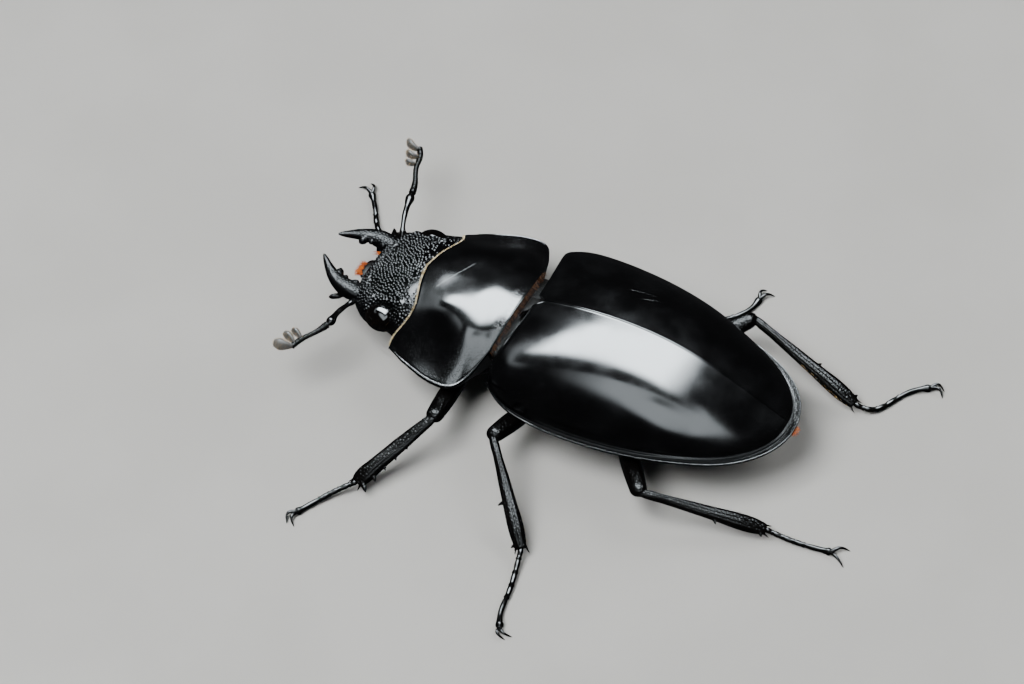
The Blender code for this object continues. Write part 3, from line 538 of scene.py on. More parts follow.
def shell_material(name, colour, roughness, points, point_size, zone=None, swell=0.0,
                   gouges=(), skin=1.0, worn=None, gloss=0.5, zone_dull=0.0):
    """Chitin. points, swell and skin are heights of relief in micrometres, point_size is in mm.
    zone names a mask that says where the points are, and zone_dull is how much rougher it is there."""
    material = bpy.data.materials.new(name)
    material.use_nodes = True
    tree = material.node_tree
    shader = tree.nodes["Principled BSDF"]
    place = add_node(tree, "ShaderNodeTexCoord").outputs["Object"]
    cloud = add_node(tree, "ShaderNodeTexNoise", {"Vector": place, "Scale": CLOUD_SCALE, "Detail": 5.0})
    grain = add_node(tree, "ShaderNodeTexNoise", {"Vector": place, "Scale": GRAIN_SCALE, "Detail": 3.0})
    height = calc(tree, "MULTIPLY", grain.outputs["Fac"], skin * MICROMETRE)
    mask = add_node(tree, "ShaderNodeAttribute", attribute_name=zone).outputs["Fac"] if zone else 1.0
    cells = add_node(tree, "ShaderNodeTexVoronoi", {
        "Vector": place, "Scale": 1 / (point_size * MM), "Randomness": POINT_SCATTER,
    })
    pit = calc(tree, "MULTIPLY", remap(tree, cells.outputs["Distance"], *POINT_SLOPE), points * MICROMETRE)
    height = calc(tree, "ADD", height, calc(tree, "MULTIPLY", pit, mask))
    if swell:
        broad = add_node(tree, "ShaderNodeTexNoise", {"Vector": place, "Scale": SWELL_SCALE, "Detail": 1.5})
        height = calc(tree, "ADD", height, calc(tree, "MULTIPLY", broad.outputs["Fac"], swell * MICROMETRE))
    for start, end in gouges:
        cut = calc(tree, "MULTIPLY", gouge(tree, place, start, end), GOUGE_DEPTH * MM)
        height = calc(tree, "SUBTRACT", height, cut)
    relief = add_node(tree, "ShaderNodeBump", {"Height": height, "Distance": 1.0, "Strength": 1.0})
    dull = remap(tree, cloud.outputs["Fac"], *DULL_CLOUDS, *(roughness * share for share in DULL_SPAN))
    if zone_dull:
        dull = calc(tree, "ADD", dull, calc(tree, "MULTIPLY", mask, zone_dull))
    worn = worn or [channel * WORN_GAIN for channel in colour]
    tint = add_node(tree, "ShaderNodeMix", {
        "Factor": remap(tree, cloud.outputs["Fac"], *WORN_CLOUDS), "A": (*colour, 1), "B": (*worn, 1),
    }, data_type="RGBA")
    tree.links.new(relief.outputs["Normal"], shader.inputs["Normal"])
    tree.links.new(dull, shader.inputs["Roughness"])
    tree.links.new(tint.outputs["Result"], shader.inputs["Base Color"])
    shader.inputs["IOR"].default_value = CHITIN_IOR
    shader.inputs["Specular IOR Level"].default_value = gloss
    return material


# %% The shells of the plates
BLACK = (0.0012, 0.0012, 0.0014)
WARM_BLACK = (0.0018, 0.0016, 0.0015)
BELLY_BROWN = (0.003, 0.0024, 0.002)
MOUTH_BROWN = (0.002, 0.0015, 0.0012)
# Each scratch runs between two places, seen from above
CASE_GOUGES = (
    ((-3.69, 25.76), (-4.14, 29.16)),
    ((-2.97, 27.31), (-4.23, 30.32)),
    ((-5.94, 31.39), (-6.71, 34.11)),
)
THORAX_GOUGES = (((2.29, 10.83), (-1.97, 13.03)),)
case_shell = shell_material(
    "case_shell", BLACK, 0.13, points=16, point_size=0.16, zone="pointed", swell=13,
    gouges=CASE_GOUGES, zone_dull=0.08,
)
thorax_shell = shell_material(
    "thorax_shell", BLACK, 0.13, points=8, point_size=0.12, zone="pointed", swell=7, gouges=THORAX_GOUGES,
)
head_shell = shell_material("head_shell", BLACK, 0.13, points=1.0, point_size=0.09, gloss=0.18)
jaw_shell = shell_material("jaw_shell", BLACK, 0.22, points=5, point_size=0.12, swell=9, gloss=0.11)
leg_shell = shell_material("leg_shell", WARM_BLACK, 0.15, points=6, point_size=0.12, gloss=0.1)
smooth_leg_shell = shell_material(
    "smooth_leg_shell", WARM_BLACK, 0.13, points=2, point_size=0.1, gloss=0.24,
)
belly_shell = shell_material("belly_shell", BELLY_BROWN, 0.36, points=16, point_size=0.22, gloss=0.25)
mouth_shell = shell_material("mouth_shell", MOUTH_BROWN, 0.25, points=6, point_size=0.12, gloss=0.08)
print("shell materials:", [material.name for material in bpy.data.materials if "shell" in material.name])

# %% [markdown]
# ## Wing cases
# Two hardened fore wings cover the back and meet in a straight seam. Each is a thin arched shell
# with a fine raised edge along the seam, a gutter near its outer margin and a raised rim. They
# could be one skin with a groove down the middle, but real edges catch the light. One loft makes
# all of a case: every cross section runs out over the arch, round the rim and back under.

# %% Sizes of the wing cases
# The outline from above is x, y. The other tables give y first, then the crown's height, the rim's
# height, the width of the flange outside the arch, and the power of the arch's curve.
CASE_OUTLINE = (
    (7.5, 18.5), (8.45, 20.0), (9.0, 22.0), (9.25, 24.5), (9.2, 27.2), (8.85, 30.2),
    (8.2, 33.3), (7.2, 36.4), (5.9, 39.4), (3.95, 41.75), (2.05, 42.9), (0.0, 43.28),
)
CASE_CROWN = (
    (18.9, 8.75), (20.4, 9.25), (23.0, 9.95), (26.0, 10.4), (29.0, 10.5), (32.0, 10.2),
    (35.0, 9.4), (38.0, 8.2), (40.5, 7.05), (42.8, 5.95),
)
CASE_RIM_HEIGHT = ((18.5, 5.7), (20.5, 5.1), (24.0, 4.85), (32.0, 4.85), (38.0, 4.95), (43.5, 5.35))
CASE_FLANGE = ((18.5, 0.16), (22.0, 0.3), (32.0, 0.38), (38.0, 0.5), (41.0, 0.58), (43.5, 0.6))
CASE_ROUNDNESS = ((18.5, 3.0), (21.0, 2.8), (24.0, 2.4), (28.0, 2.15), (36.0, 2.02), (43.5, 1.98))
# The rim, outward from the arch and round under: share of the flange, height from the rim's line
RIM_PROFILE = (
    (0.12, -0.12), (0.3, -0.1), (0.5, -0.05), (0.68, 0.005), (0.8, 0.04), (0.88, 0.06), (0.94, 0.055),
    (0.98, 0.02), (1.0, -0.03), (1.0, -0.09), (0.94, -0.18), (0.82, -0.25),
)
CASE_THICKNESS = 0.5
CASE_SLANT, CASE_SLANT_END = 0.7, 24.0
CASE_ROWS = 190
SEAM_HALF = 0.035
SCUTELLUM_BASE, SCUTELLUM_TIP, SCUTELLUM_HALF = 18.55, 20.35, 1.05

# %% Rows and arches of a wing case


def case_rows(inset):
    """For each row: edge of the arch, outward direction, flange width and rim height."""
    half = list(CASE_OUTLINE)
    outline = path_through(half + mirrored(half[-2::-1]), 2 * CASE_ROWS - 1)
    run = np.gradient(outline, axis=0)[:CASE_ROWS]
    outline = outline[:CASE_ROWS]
    outward = np.column_stack([run[:, 1], -run[:, 0]])
    outward /= np.linalg.norm(outward, axis=1)[:, None]
    outward[-1] = 0, 1
    flange = spline(CASE_FLANGE, outline[:, 1])
    rim = spline(CASE_RIM_HEIGHT, outline[:, 1])
    edge = outline - outward * (flange + inset)[:, None]
    edge[-1, 0] = 0
    return edge, outward, flange, rim


def case_arch(edge, depth, low, shares):
    """Points of one arch; shares run from 0 at the seam to 1 at the edge."""
    slant = np.clip(1 - (edge[1] - CASE_CROWN[0][0]) / (CASE_SLANT_END - CASE_CROWN[0][0]), 0, 1)
    middle = edge[1] + CASE_SLANT * slant**2
    roundness = spline(CASE_ROUNDNESS, edge[1])[0]
    crown = spline(CASE_CROWN, middle)[0] - depth
    rise = np.clip(1 - shares**roundness, 0, 1) ** (1 / roundness)
    x = SEAM_HALF + edge[0] * shares
    y = middle + (edge[1] - middle) * shares**2
    z = low + (crown - low) * rise
    return np.column_stack([x, y, z])


# %% Wing cases
# Columns of the mesh: in the fine strip along the seam, over the arch and underneath
SEAM_COLUMNS, ARCH_COLUMNS, UNDER_COLUMNS = 16, 84, 30
# The fine strip's width, and the largest share of an arch that it may take
SEAM_STRIP, SEAM_STRIP_SHARE = 0.4, 0.3
# The raised edge along the seam: height, distance from the seam, width
SEAM_BEAD, SEAM_BEAD_PLACE, SEAM_BEAD_WIDTH = 0.012, 0.05, 0.04
# The arch sinks toward the seam by this slope, within this reach, on arches wider than the last
SEAM_CREASE, SEAM_CREASE_REACH, SEAM_FADE = 0.06, 2.5, 1.5
# The notch for the scutellum: its share of the scutellum's width, and of the arch at most
NOTCH_FIT, NOTCH_MOST = 0.95, 0.9
ARCH_ABOVE_RIM, UNDERSIDE_BELOW_RIM = 0.06, 0.34
CASE_FRONT_DROP, CASE_FRONT_REACH = 0.25, 0.5
LEAST_REACH = 1e-3
# Points cover the foot of the arch, up to this height over the rim, and grow denser to the rear
CASE_POINTS_TOP, CASE_POINTS_FADE = 0.5, 0.4
CASE_POINTS_FRONT, CASE_POINTS_LENGTH, CASE_POINTS_LEAST = 33.0, 7.0, 0.12


def case_shares(reach, first):
    """Places across an arch, close together along the seam and again toward the edge."""
    strip = min(SEAM_STRIP / reach, SEAM_STRIP_SHARE)
    near = strip * np.linspace(0, 1, SEAM_COLUMNS, endpoint=False)
    sweep = np.linspace(math.asin(strip), math.pi / 2, ARCH_COLUMNS)
    return first + (1 - first) * np.r_[near, np.sin(sweep)]


def case_ring(edge, outward, flange, rim, inner_edge):
    """One cross section: out over the arch, round the rim and back under."""
    reach = max(edge[0], LEAST_REACH)
    notch = np.clip((SCUTELLUM_TIP - edge[1] - CASE_SLANT) / (SCUTELLUM_TIP - SCUTELLUM_BASE), 0, 1)
    first = min(NOTCH_MOST, SCUTELLUM_HALF * notch * NOTCH_FIT / reach)
    shares = case_shares(reach, first)
    arch = case_arch(edge, 0.0, rim + ARCH_ABOVE_RIM, shares)
    from_seam = (shares - first) * reach
    fade = np.clip(reach / SEAM_FADE, 0, 1)
    arch[:, 2] += fade * SEAM_BEAD * bump_at(from_seam, SEAM_BEAD_PLACE, SEAM_BEAD_WIDTH)
    arch[:, 2] -= fade * SEAM_CREASE * from_seam * np.exp(-from_seam / SEAM_CREASE_REACH)
    behind_front = (edge[1] - CASE_OUTLINE[0][1]) / CASE_FRONT_REACH
    arch[:, 2] -= CASE_FRONT_DROP * np.clip(1 - behind_front, 0, 1) ** 2
    rim_points = []
    for share, lift in RIM_PROFILE:
        spot = edge + outward * flange * share
        rim_points.append((SEAM_HALF + spot[0], spot[1], rim + lift))
    under_shares = np.sin(np.linspace(math.pi / 2, math.asin(first), UNDER_COLUMNS))
    under = case_arch(inner_edge, CASE_THICKNESS, rim - UNDERSIDE_BELOW_RIM, under_shares)
    return np.vstack([arch, rim_points, under])


def wing_case(side):
    """A thin arched shell with a fine edge along the seam, a gutter and a rim."""
    inner_edge = case_rows(CASE_THICKNESS)[0]
    rings = np.array([case_ring(*row) for row in zip(*case_rows(0.0), inner_edge)])
    rings[..., 0] *= SIDES[side]
    item = heal(surface(f"wing_case_{side}", rings))
    y, z = vertices_of(item).T[1:]
    low = np.clip((spline(CASE_RIM_HEIGHT, y) + CASE_POINTS_TOP - z) / CASE_POINTS_FADE, 0, 1)
    to_rear = np.clip((y - CASE_POINTS_FRONT) / CASE_POINTS_LENGTH, CASE_POINTS_LEAST, 1)
    paint_mask(item, "pointed", low * to_rear)
    return item


for side in SIDES:
    settle(wing_case(side), case_shell, [f"elytron_{side}"])

# %% [markdown]
# ## Scutellum
# The small triangle at the front of the seam is part of the middle segment of the thorax. A flat
# plate would do from afar, but it is really a low shield with rounded sides, so it is lofted from
# its base to its tip. It leans forward into the gap behind the thorax, where it stays in shadow.

# %% Scutellum
SCUTELLUM_ROWS, SCUTELLUM_SIDES = 30, 40
SCUTELLUM_START, SCUTELLUM_LENGTH = SCUTELLUM_BASE - 0.25, SCUTELLUM_TIP - SCUTELLUM_BASE + 0.2
SCUTELLUM_TOP, SCUTELLUM_RISE = 7.63, 1.0
# Its section: the power of its curve, the height of its edge, the arch over it, the keel under it
SCUTELLUM_POWER, SCUTELLUM_EDGE, SCUTELLUM_ARCH, SCUTELLUM_KEEL = 0.8, 0.1, 0.14, 0.4
# Its outline: the share where it ends, the power of its taper, its shoulder and how soon that ends
SCUTELLUM_END, SCUTELLUM_TAPER, SCUTELLUM_SHOULDER, SHOULDER_RATE = 0.97, 0.85, 0.86, 4
# Over this first share of its length the shield dips by this much
SCUTELLUM_DIP_SHARE, SCUTELLUM_DIP = 0.12, 0.5


def scutellum():
    """A low shield, widest a little behind its base."""
    angle = np.linspace(0, math.tau, SCUTELLUM_SIDES, endpoint=False)
    across = np.sign(np.cos(angle)) * np.abs(np.cos(angle)) ** SCUTELLUM_POWER
    above = SCUTELLUM_EDGE + SCUTELLUM_ARCH * np.abs(np.sin(angle)) ** SCUTELLUM_POWER
    below = -SCUTELLUM_KEEL * np.abs(np.sin(angle))
    lift = np.where(np.sin(angle) > 0, above, below)
    rings = []
    for share in np.linspace(0, SCUTELLUM_END, SCUTELLUM_ROWS):
        y = SCUTELLUM_START + SCUTELLUM_LENGTH * share
        widened = math.sin(min(1, share * SHOULDER_RATE) * math.pi / 2)
        shoulder = SCUTELLUM_SHOULDER + (1 - SCUTELLUM_SHOULDER) * widened
        half = SCUTELLUM_HALF * (1 - share) ** SCUTELLUM_TAPER * shoulder
        dip = SCUTELLUM_DIP * max(0, SCUTELLUM_DIP_SHARE - share) / SCUTELLUM_DIP_SHARE
        top = SCUTELLUM_TOP + SCUTELLUM_RISE * share - dip
        rings.append(np.column_stack([half * across, np.full_like(across, y), top + lift]))
    return heal(surface("scutellum_shield", rings))


settle(scutellum(), belly_shell, ["scutellum"])

# %% [markdown]
# ## Pronotum
# The broad shield behind the head carries the first pair of legs. It widens to a rounded corner
# on each side, is cut back obliquely to its hind margin, and has a fine raised bead along its
# side and hind edges. Rings from front to back would cut across that bead at the corners. Here the
# loft's rows follow the margin round, so the bead is always along a row or a column of the grid.
# Four soft swellings and hollows on each half bend the reflections as the real shield does.

# %% Sizes of the pronotum
# The margin is x, y, z. The crown and the roundness give y first, then the height and the power.
PRONOTUM_MARGIN = (
    (7.1, 9.3, 4.45), (7.75, 10.4, 4.55), (8.35, 11.8, 4.65), (8.9, 13.4, 4.75),
    (9.07, 14.5, 4.8), (9.0, 15.5, 4.85), (8.6, 16.15, 4.9), (7.85, 16.6, 5.05),
    (7.0, 17.0, 5.45), (6.1, 17.35, 6.05), (5.2, 17.65, 6.7),
)
PRONOTUM_CROWN = (
    (9.05, 7.7), (10.5, 8.15), (12.2, 8.45), (14.0, 8.9), (15.6, 9.0), (17.0, 8.65), (18.2, 8.5),
)
PRONOTUM_FLOOR = 4.25
PRONOTUM_ROUNDNESS = ((9.05, 2.1), (11.5, 1.8), (14.0, 1.8), (16.5, 2.0), (18.2, 2.0))
# Swellings and hollows of the shield: x, y, radius, height; each has a twin on the other side
PRONOTUM_SWELLS = (
    (3.45, 12.35, 1.8, 0.39),
    (8.0, 13.5, 3.5, -0.44),
    (1.0, 14.6, 2.2, -0.21),
    (5.25, 15.85, 1.9, 0.34),
)
SWELL_FADE = 8
PRONOTUM_ROWS, ROW_CROWDING, MARGIN_STEPS = 170, 1.35, 900
PRONOTUM_REACH = 0.985
# The bead along the margin and the gutter inside it: height, distance from the margin, width
MARGIN_BEAD = (0.04, 0.06, 0.055)
MARGIN_GUTTER = (-0.02, 0.2, 0.09)
COLLAR_DROP, COLLAR_REACH = 0.12, 0.25
# The front edge over the head: share of the half width, y, z
FRONT_EDGE = (
    (0.0, 9.02, 7.8), (0.3, 9.48, 7.72), (0.55, 10.0, 7.29), (0.7, 9.9, 6.71), (0.76, 9.73, 6.38),
    (0.82, 9.5, 5.97), (0.9, 9.21, 5.4), (1.0, 9.06, 4.45),
)
FRONT_EDGE_REACH = 4.0
# The turned-in margin: how far in, and how far below the margin; None is the shield's own floor
TURNED_MARGIN = ((0.0, -0.1), (0.06, -0.24), (0.2, -0.36), (0.9, None), (4.0, None))

# %% The upper side of the pronotum


def pronotum_rows():
    """Margin points and crown stations, closer together toward the hind edge."""
    share = 1 - (1 - np.linspace(0, 1, PRONOTUM_ROWS)) ** ROW_CROWDING
    fine = path_through(PRONOTUM_MARGIN, MARGIN_STEPS)
    fine_share = np.linspace(0, 1, len(fine))
    margin = np.column_stack([np.interp(share, fine_share, fine[:, k]) for k in range(3)])
    places = PRONOTUM_CROWN[0][0] + (PRONOTUM_CROWN[-1][0] - PRONOTUM_CROWN[0][0]) * share
    return margin, places, spline(PRONOTUM_CROWN, places)


def pronotum_top(shares):
    """The upper surface: rows along the margin, columns from the midline (0) to the side (1)."""
    margin, places, crown = pronotum_rows()
    x, y, z = (margin[:, k][:, None] for k in range(3))
    rise = 1 - (shares * PRONOTUM_REACH) ** spline(PRONOTUM_ROUNDNESS, places)[:, None]
    top = np.empty((PRONOTUM_ROWS, len(shares), 3))
    top[..., 0] = x * shares
    top[..., 1] = places[:, None] + (y - places[:, None]) * shares**2
    top[..., 2] = z + (crown[:, None] - z) * rise
    warp = spline(FRONT_EDGE, shares) - top[0, :, 1:]
    reach = np.clip(1 - (places - places[0]) / FRONT_EDGE_REACH, 0, 1)[:, None, None] ** 3
    top[..., 1:] += warp[None] * reach
    along = (places[:, None] - places[0]) / (places[-1] - places[0])
    keep = (1 - shares**SWELL_FADE) * (1 - along**SWELL_FADE)
    for swell_x, swell_y, radius, height in PRONOTUM_SWELLS:
        for centre in (swell_x, -swell_x):
            away = (top[..., 0] - centre) ** 2 + (top[..., 1] - swell_y) ** 2
            top[..., 2] += keep * height * np.exp(-away / radius**2)
    hind = np.linalg.norm(np.diff(top, axis=0, append=top[-1:]), axis=2)[::-1].cumsum(axis=0)[::-1]
    outer = (1 - shares) * x
    gap = np.minimum(hind, outer)
    for height, place, width in (MARGIN_BEAD, MARGIN_GUTTER):
        top[..., 2] += height * bump_at(gap, place, width)
    front = np.linalg.norm(np.diff(top, axis=0, prepend=top[:1]), axis=2).cumsum(axis=0)
    top[..., 2] -= COLLAR_DROP * np.clip(1 - front / COLLAR_REACH, 0, 1) ** 2
    return top


# %% Pronotum
TOP_COLUMNS, EDGE_COLUMNS, EDGE_SHARE = 84, 26, 0.9
# Where the shield has points: from this half width outward, toward the front and toward the rear
SIDE_POINTS_FROM, SIDE_POINTS_REACH = 4.6, 2.4
FRONT_POINTS_TO, FRONT_POINTS_REACH, FRONT_POINTS_MOST = 11.6, 1.8, 0.14
REAR_POINTS_FROM, REAR_POINTS_REACH, REAR_POINTS_MOST = 16.9, 1.0, 0.6
POINTS_LEAST = 0.05


def pronotum():
    """The shield with its turned-in margin, mirrored about the midline."""
    middle = np.linspace(0, EDGE_SHARE, TOP_COLUMNS, endpoint=False)
    edge = EDGE_SHARE + (1 - EDGE_SHARE) * np.sin(np.linspace(0, math.pi / 2, EDGE_COLUMNS))
    top = pronotum_top(np.r_[middle, edge])
    margin = pronotum_rows()[0]
    under = []
    for inset, height in TURNED_MARGIN:
        ring = margin.copy()
        ring[:, 0] -= inset
        ring[:, 2] = ring[:, 2] + height if height is not None else PRONOTUM_FLOOR
        under.append(ring)
    half = np.concatenate([top, np.stack(under, axis=1)], axis=1)
    twin = half[:, :0:-1].copy()
    twin[..., 0] *= -1
    item = heal(surface("pronotum_shield", np.concatenate([half, twin], axis=1)))
    x, y = vertices_of(item).T[:2]
    side = np.clip((np.abs(x) - SIDE_POINTS_FROM) / SIDE_POINTS_REACH, 0, 1)
    front = FRONT_POINTS_MOST * np.clip((FRONT_POINTS_TO - y) / FRONT_POINTS_REACH, 0, 1)
    rear = np.clip((y - REAR_POINTS_FROM) / REAR_POINTS_REACH, 0, REAR_POINTS_MOST)
    paint_mask(item, "pointed", np.clip(side + front + rear, POINTS_LEAST, 1))
    return item


settle(pronotum(), thorax_shell, ["pronotum"])

# %% [markdown]
# ## Pits, grown with Geometry Nodes
# The head and jaws are covered with deep round pits, and the lip and legs have shallow ones. They
# repeat over a surface, so a Geometry Nodes tree makes them: it scatters points that keep their
# distance from each other, measures how far each vertex is from the nearest one, and pushes it in
# along its normal. A mask says where pits grow. Real relief catches the light from every side,
# which a bump map can't do.

# %% The pitting tree
PIT_CROWD = 8.0
PIT_SIZES = {2: 0.75, 3: 1.15}
# Distances from a pit's middle, in pit radii: its flat floor, and the lip's start, top and end
PIT_FLOOR, LIP_START, LIP_TOP, LIP_END = 0.25, 0.75, 1.1, 1.7
FULL_DEPTH_MASK = 0.6


def pitting_tree():
    """Presses round pits into a plate where its mask says so."""
    tree = bpy.data.node_groups.new("pitting", "GeometryNodeTree")
    sockets = tree.interface
    sockets.new_socket(name="Plate", in_out="INPUT", socket_type="NodeSocketGeometry")
    for name in ("Spacing", "Pit radius", "Pit depth", "Rim height"):
        sockets.new_socket(name=name, in_out="INPUT", socket_type="NodeSocketFloat")
    sockets.new_socket(name="Seed", in_out="INPUT", socket_type="NodeSocketInt")
    sockets.new_socket(name="Shell", in_out="INPUT", socket_type="NodeSocketMaterial")
    sockets.new_socket(name="Plate", in_out="OUTPUT", socket_type="NodeSocketGeometry")
    given = add_node(tree, "NodeGroupInput").outputs
    mask = add_node(tree, "GeometryNodeInputNamedAttribute", {"Name": "pitted"}, data_type="FLOAT")
    mask = mask.outputs["Attribute"]
    crowd = calc(tree, "DIVIDE", PIT_CROWD, calc(tree, "MULTIPLY", given["Spacing"], given["Spacing"]))
    spots = add_node(tree, "GeometryNodeDistributePointsOnFaces", {
        "Mesh": given["Plate"], "Distance Min": given["Spacing"], "Density Max": crowd,
        "Density Factor": mask, "Seed": given["Seed"],
    }, distribute_method="POISSON").outputs["Points"]
    apart = add_node(tree, "GeometryNodeProximity", {0: spots}, target_element="POINTS").outputs["Distance"]
    nearest = add_node(tree, "GeometryNodeSampleNearest", {"Geometry": spots}, domain="POINT")
    sizes = add_node(tree, "FunctionNodeRandomValue", PIT_SIZES, data_type="FLOAT").outputs[1]
    size = add_node(tree, "GeometryNodeSampleIndex", {
        "Geometry": spots, "Value": sizes, "Index": nearest.outputs["Index"],
    }, data_type="FLOAT", domain="POINT").outputs["Value"]
    far = calc(tree, "DIVIDE", apart, calc(tree, "MULTIPLY", given["Pit radius"], size))
    bowl = remap(tree, far, PIT_FLOOR, 1.0, 1.0, 0.0)
    outside = remap(tree, far, LIP_TOP, LIP_END, 1.0, 0.0)
    lip = calc(tree, "MULTIPLY", remap(tree, far, LIP_START, LIP_TOP), outside)
    raised, sunk = (
        calc(tree, "MULTIPLY", share, given[size])
        for share, size in ((lip, "Rim height"), (bowl, "Pit depth"))
    )
    height = calc(tree, "SUBTRACT", raised, sunk)
    height = calc(tree, "MULTIPLY", height, remap(tree, mask, 0.0, FULL_DEPTH_MASK))
    normal = add_node(tree, "GeometryNodeInputNormal").outputs["Normal"]
    push = add_node(tree, "ShaderNodeVectorMath", {0: normal, "Scale": height}, operation="SCALE")
    moved = add_node(tree, "GeometryNodeSetPosition", {
        "Geometry": given["Plate"], "Offset": push.outputs["Vector"],
    }).outputs["Geometry"]
    real = add_node(tree, "GeometryNodeRealizeInstances", {"Geometry": moved}).outputs["Geometry"]
    coated = add_node(tree, "GeometryNodeSetMaterial", {
        "Geometry": real, "Material": given["Shell"],
    }).outputs["Geometry"]
    add_node(tree, "NodeGroupOutput", {"Plate": coated})
    return tree


PITTING = pitting_tree()
print("pitting tree:", len(PITTING.nodes), "nodes")

# %% Growing a tree's work on a piece


def grow(item, tree, **inputs):
    """Runs a Geometry Nodes tree on the object and keeps the result as plain mesh."""
    modifier = item.modifiers.new(tree.name, "NODES")
    modifier.node_group = tree
    wanted = {key.replace("_", " "): value for key, value in inputs.items()}
    for socket in tree.interface.items_tree:
        if socket.in_out == "INPUT" and socket.name in wanted:
            modifier[socket.identifier] = wanted.pop(socket.name)
    assert not wanted, wanted
    return apply_modifiers(item)


# %% [markdown]
# ## Head
# The head is broad and flat, with a ridge over each feeler's socket, a canthus that runs out
# before the eye, a shallow groove at each side of the forehead, and a smooth swelling behind.
# Sculpting would do it, but a loft with named swellings can be measured and changed. Its upper
# side gets many more vertices than its underside, because that is where the pits are.

# %% Sizes of the head
# Each table gives y first, then a half width or a height
HEAD_HALF_WIDTH = (
    (3.62, 2.5), (3.8, 3.2), (4.15, 3.95), (4.7, 4.52), (5.6, 5.08), (6.4, 5.15), (7.4, 5.15),
    (8.2, 5.35), (9.4, 5.9), (10.8, 6.0),
)
HEAD_CROWN = (
    (3.62, 5.1), (4.3, 5.5), (5.2, 5.98), (6.9, 6.7), (8.0, 7.12), (8.8, 7.3), (9.6, 7.35), (10.8, 7.2),
)
HEAD_BELLY = ((3.62, 4.75), (3.8, 4.0), (4.15, 3.2), (4.9, 2.55), (6.0, 2.2), (9.4, 2.1), (10.8, 2.2))
HEAD_WAIST_HEIGHT = 4.55
HEAD_ARCH = 2.4
HEAD_ROWS = 185
HEAD_UPPER, HEAD_LOWER = 330, 50
# Swellings and hollows of the forehead: x, y, radius, height; all but the one at x = 0 have a twin
HEAD_RELIEF = (
    (3.7, 4.85, 0.75, 0.26),
    (4.8, 5.5, 0.68, 0.5),
    (2.35, 4.85, 0.75, -0.24),
    (0.0, 5.1, 1.4, -0.12),
    (2.7, 8.3, 1.5, 0.12),
)
FRONT_RIDGE_Y, FRONT_RIDGE_BOW, FRONT_RIDGE_HEIGHT, FRONT_RIDGE_WIDTH = 4.0, 0.055, 0.13, 0.24
FRONT_RIDGE_HALF, FRONT_RIDGE_FADE = 3.4, 0.8
EYE_CENTRE = (4.6, 7.1, 4.8)
EYE_RADII = (1.28, 1.48, 1.22)
EYE_STRETCH = EYE_RADII[0] / EYE_RADII[1]
# The raised ring round each eye: height, radius, width; and how deep the plate sinks inside it
EYE_RING = (0.1, 1.42, 0.15)
EYE_SOCKET_DEPTH = 0.35
# The brow over each eye: height, x, half width in x and in y
BROW_HEIGHT, BROW_X, BROW_WIDTH, BROW_LENGTH = 0.5, 4.1, 0.4, 1.4
SNOUT_END, SNOUT_LIFT = 4.2, 0.2
HEAD_ROW_CROWDING = 1.15
PITS_FROM_HEIGHT = 3.4
# The smooth patches behind: x, y, spread in x and in y, and the share of the pits that they lose
PATCH_X, PATCH_Y, PATCH_SPREAD_X, PATCH_SPREAD_Y, PATCH_SHARE = 2.4, 9.0, 3.0, 0.6, 0.86
# The grooves of the forehead lose a share of their pits too
GROOVE_X, GROOVE_Y, GROOVE_RADIUS, GROOVE_SHARE = 2.35, 4.85, 0.4, 0.5

# %% Head


def head_relief(x, y):
    """How far the forehead stands above or below its plain arch."""
    lift = np.zeros_like(x)
    for bump_x, bump_y, radius, height in HEAD_RELIEF:
        for centre in {bump_x, -bump_x}:
            lift += height * np.exp(-((x - centre) ** 2 + (y - bump_y) ** 2) / radius**2)
    ridge = FRONT_RIDGE_Y + FRONT_RIDGE_BOW * x**2
    ends = np.clip((FRONT_RIDGE_HALF - np.abs(x)) / FRONT_RIDGE_FADE, 0, 1)
    lift += FRONT_RIDGE_HEIGHT * bump_at(y, ridge, FRONT_RIDGE_WIDTH) * ends
    for sign in (-1, 1):
        from_eye = np.hypot(x - sign * EYE_CENTRE[0], (y - EYE_CENTRE[1]) * EYE_STRETCH)
        beyond = np.clip((sign * x - BROW_X) / BROW_WIDTH, 0, 1)
        lift += EYE_RING[0] * bump_at(from_eye, *EYE_RING[1:])
        lift -= EYE_SOCKET_DEPTH * np.clip(EYE_RADII[0] - from_eye, 0, 1) * beyond
        brow = bump_at(sign * x, BROW_X, BROW_WIDTH) * bump_at(y, EYE_CENTRE[1], BROW_LENGTH)
        lift += BROW_HEIGHT * brow
    return lift


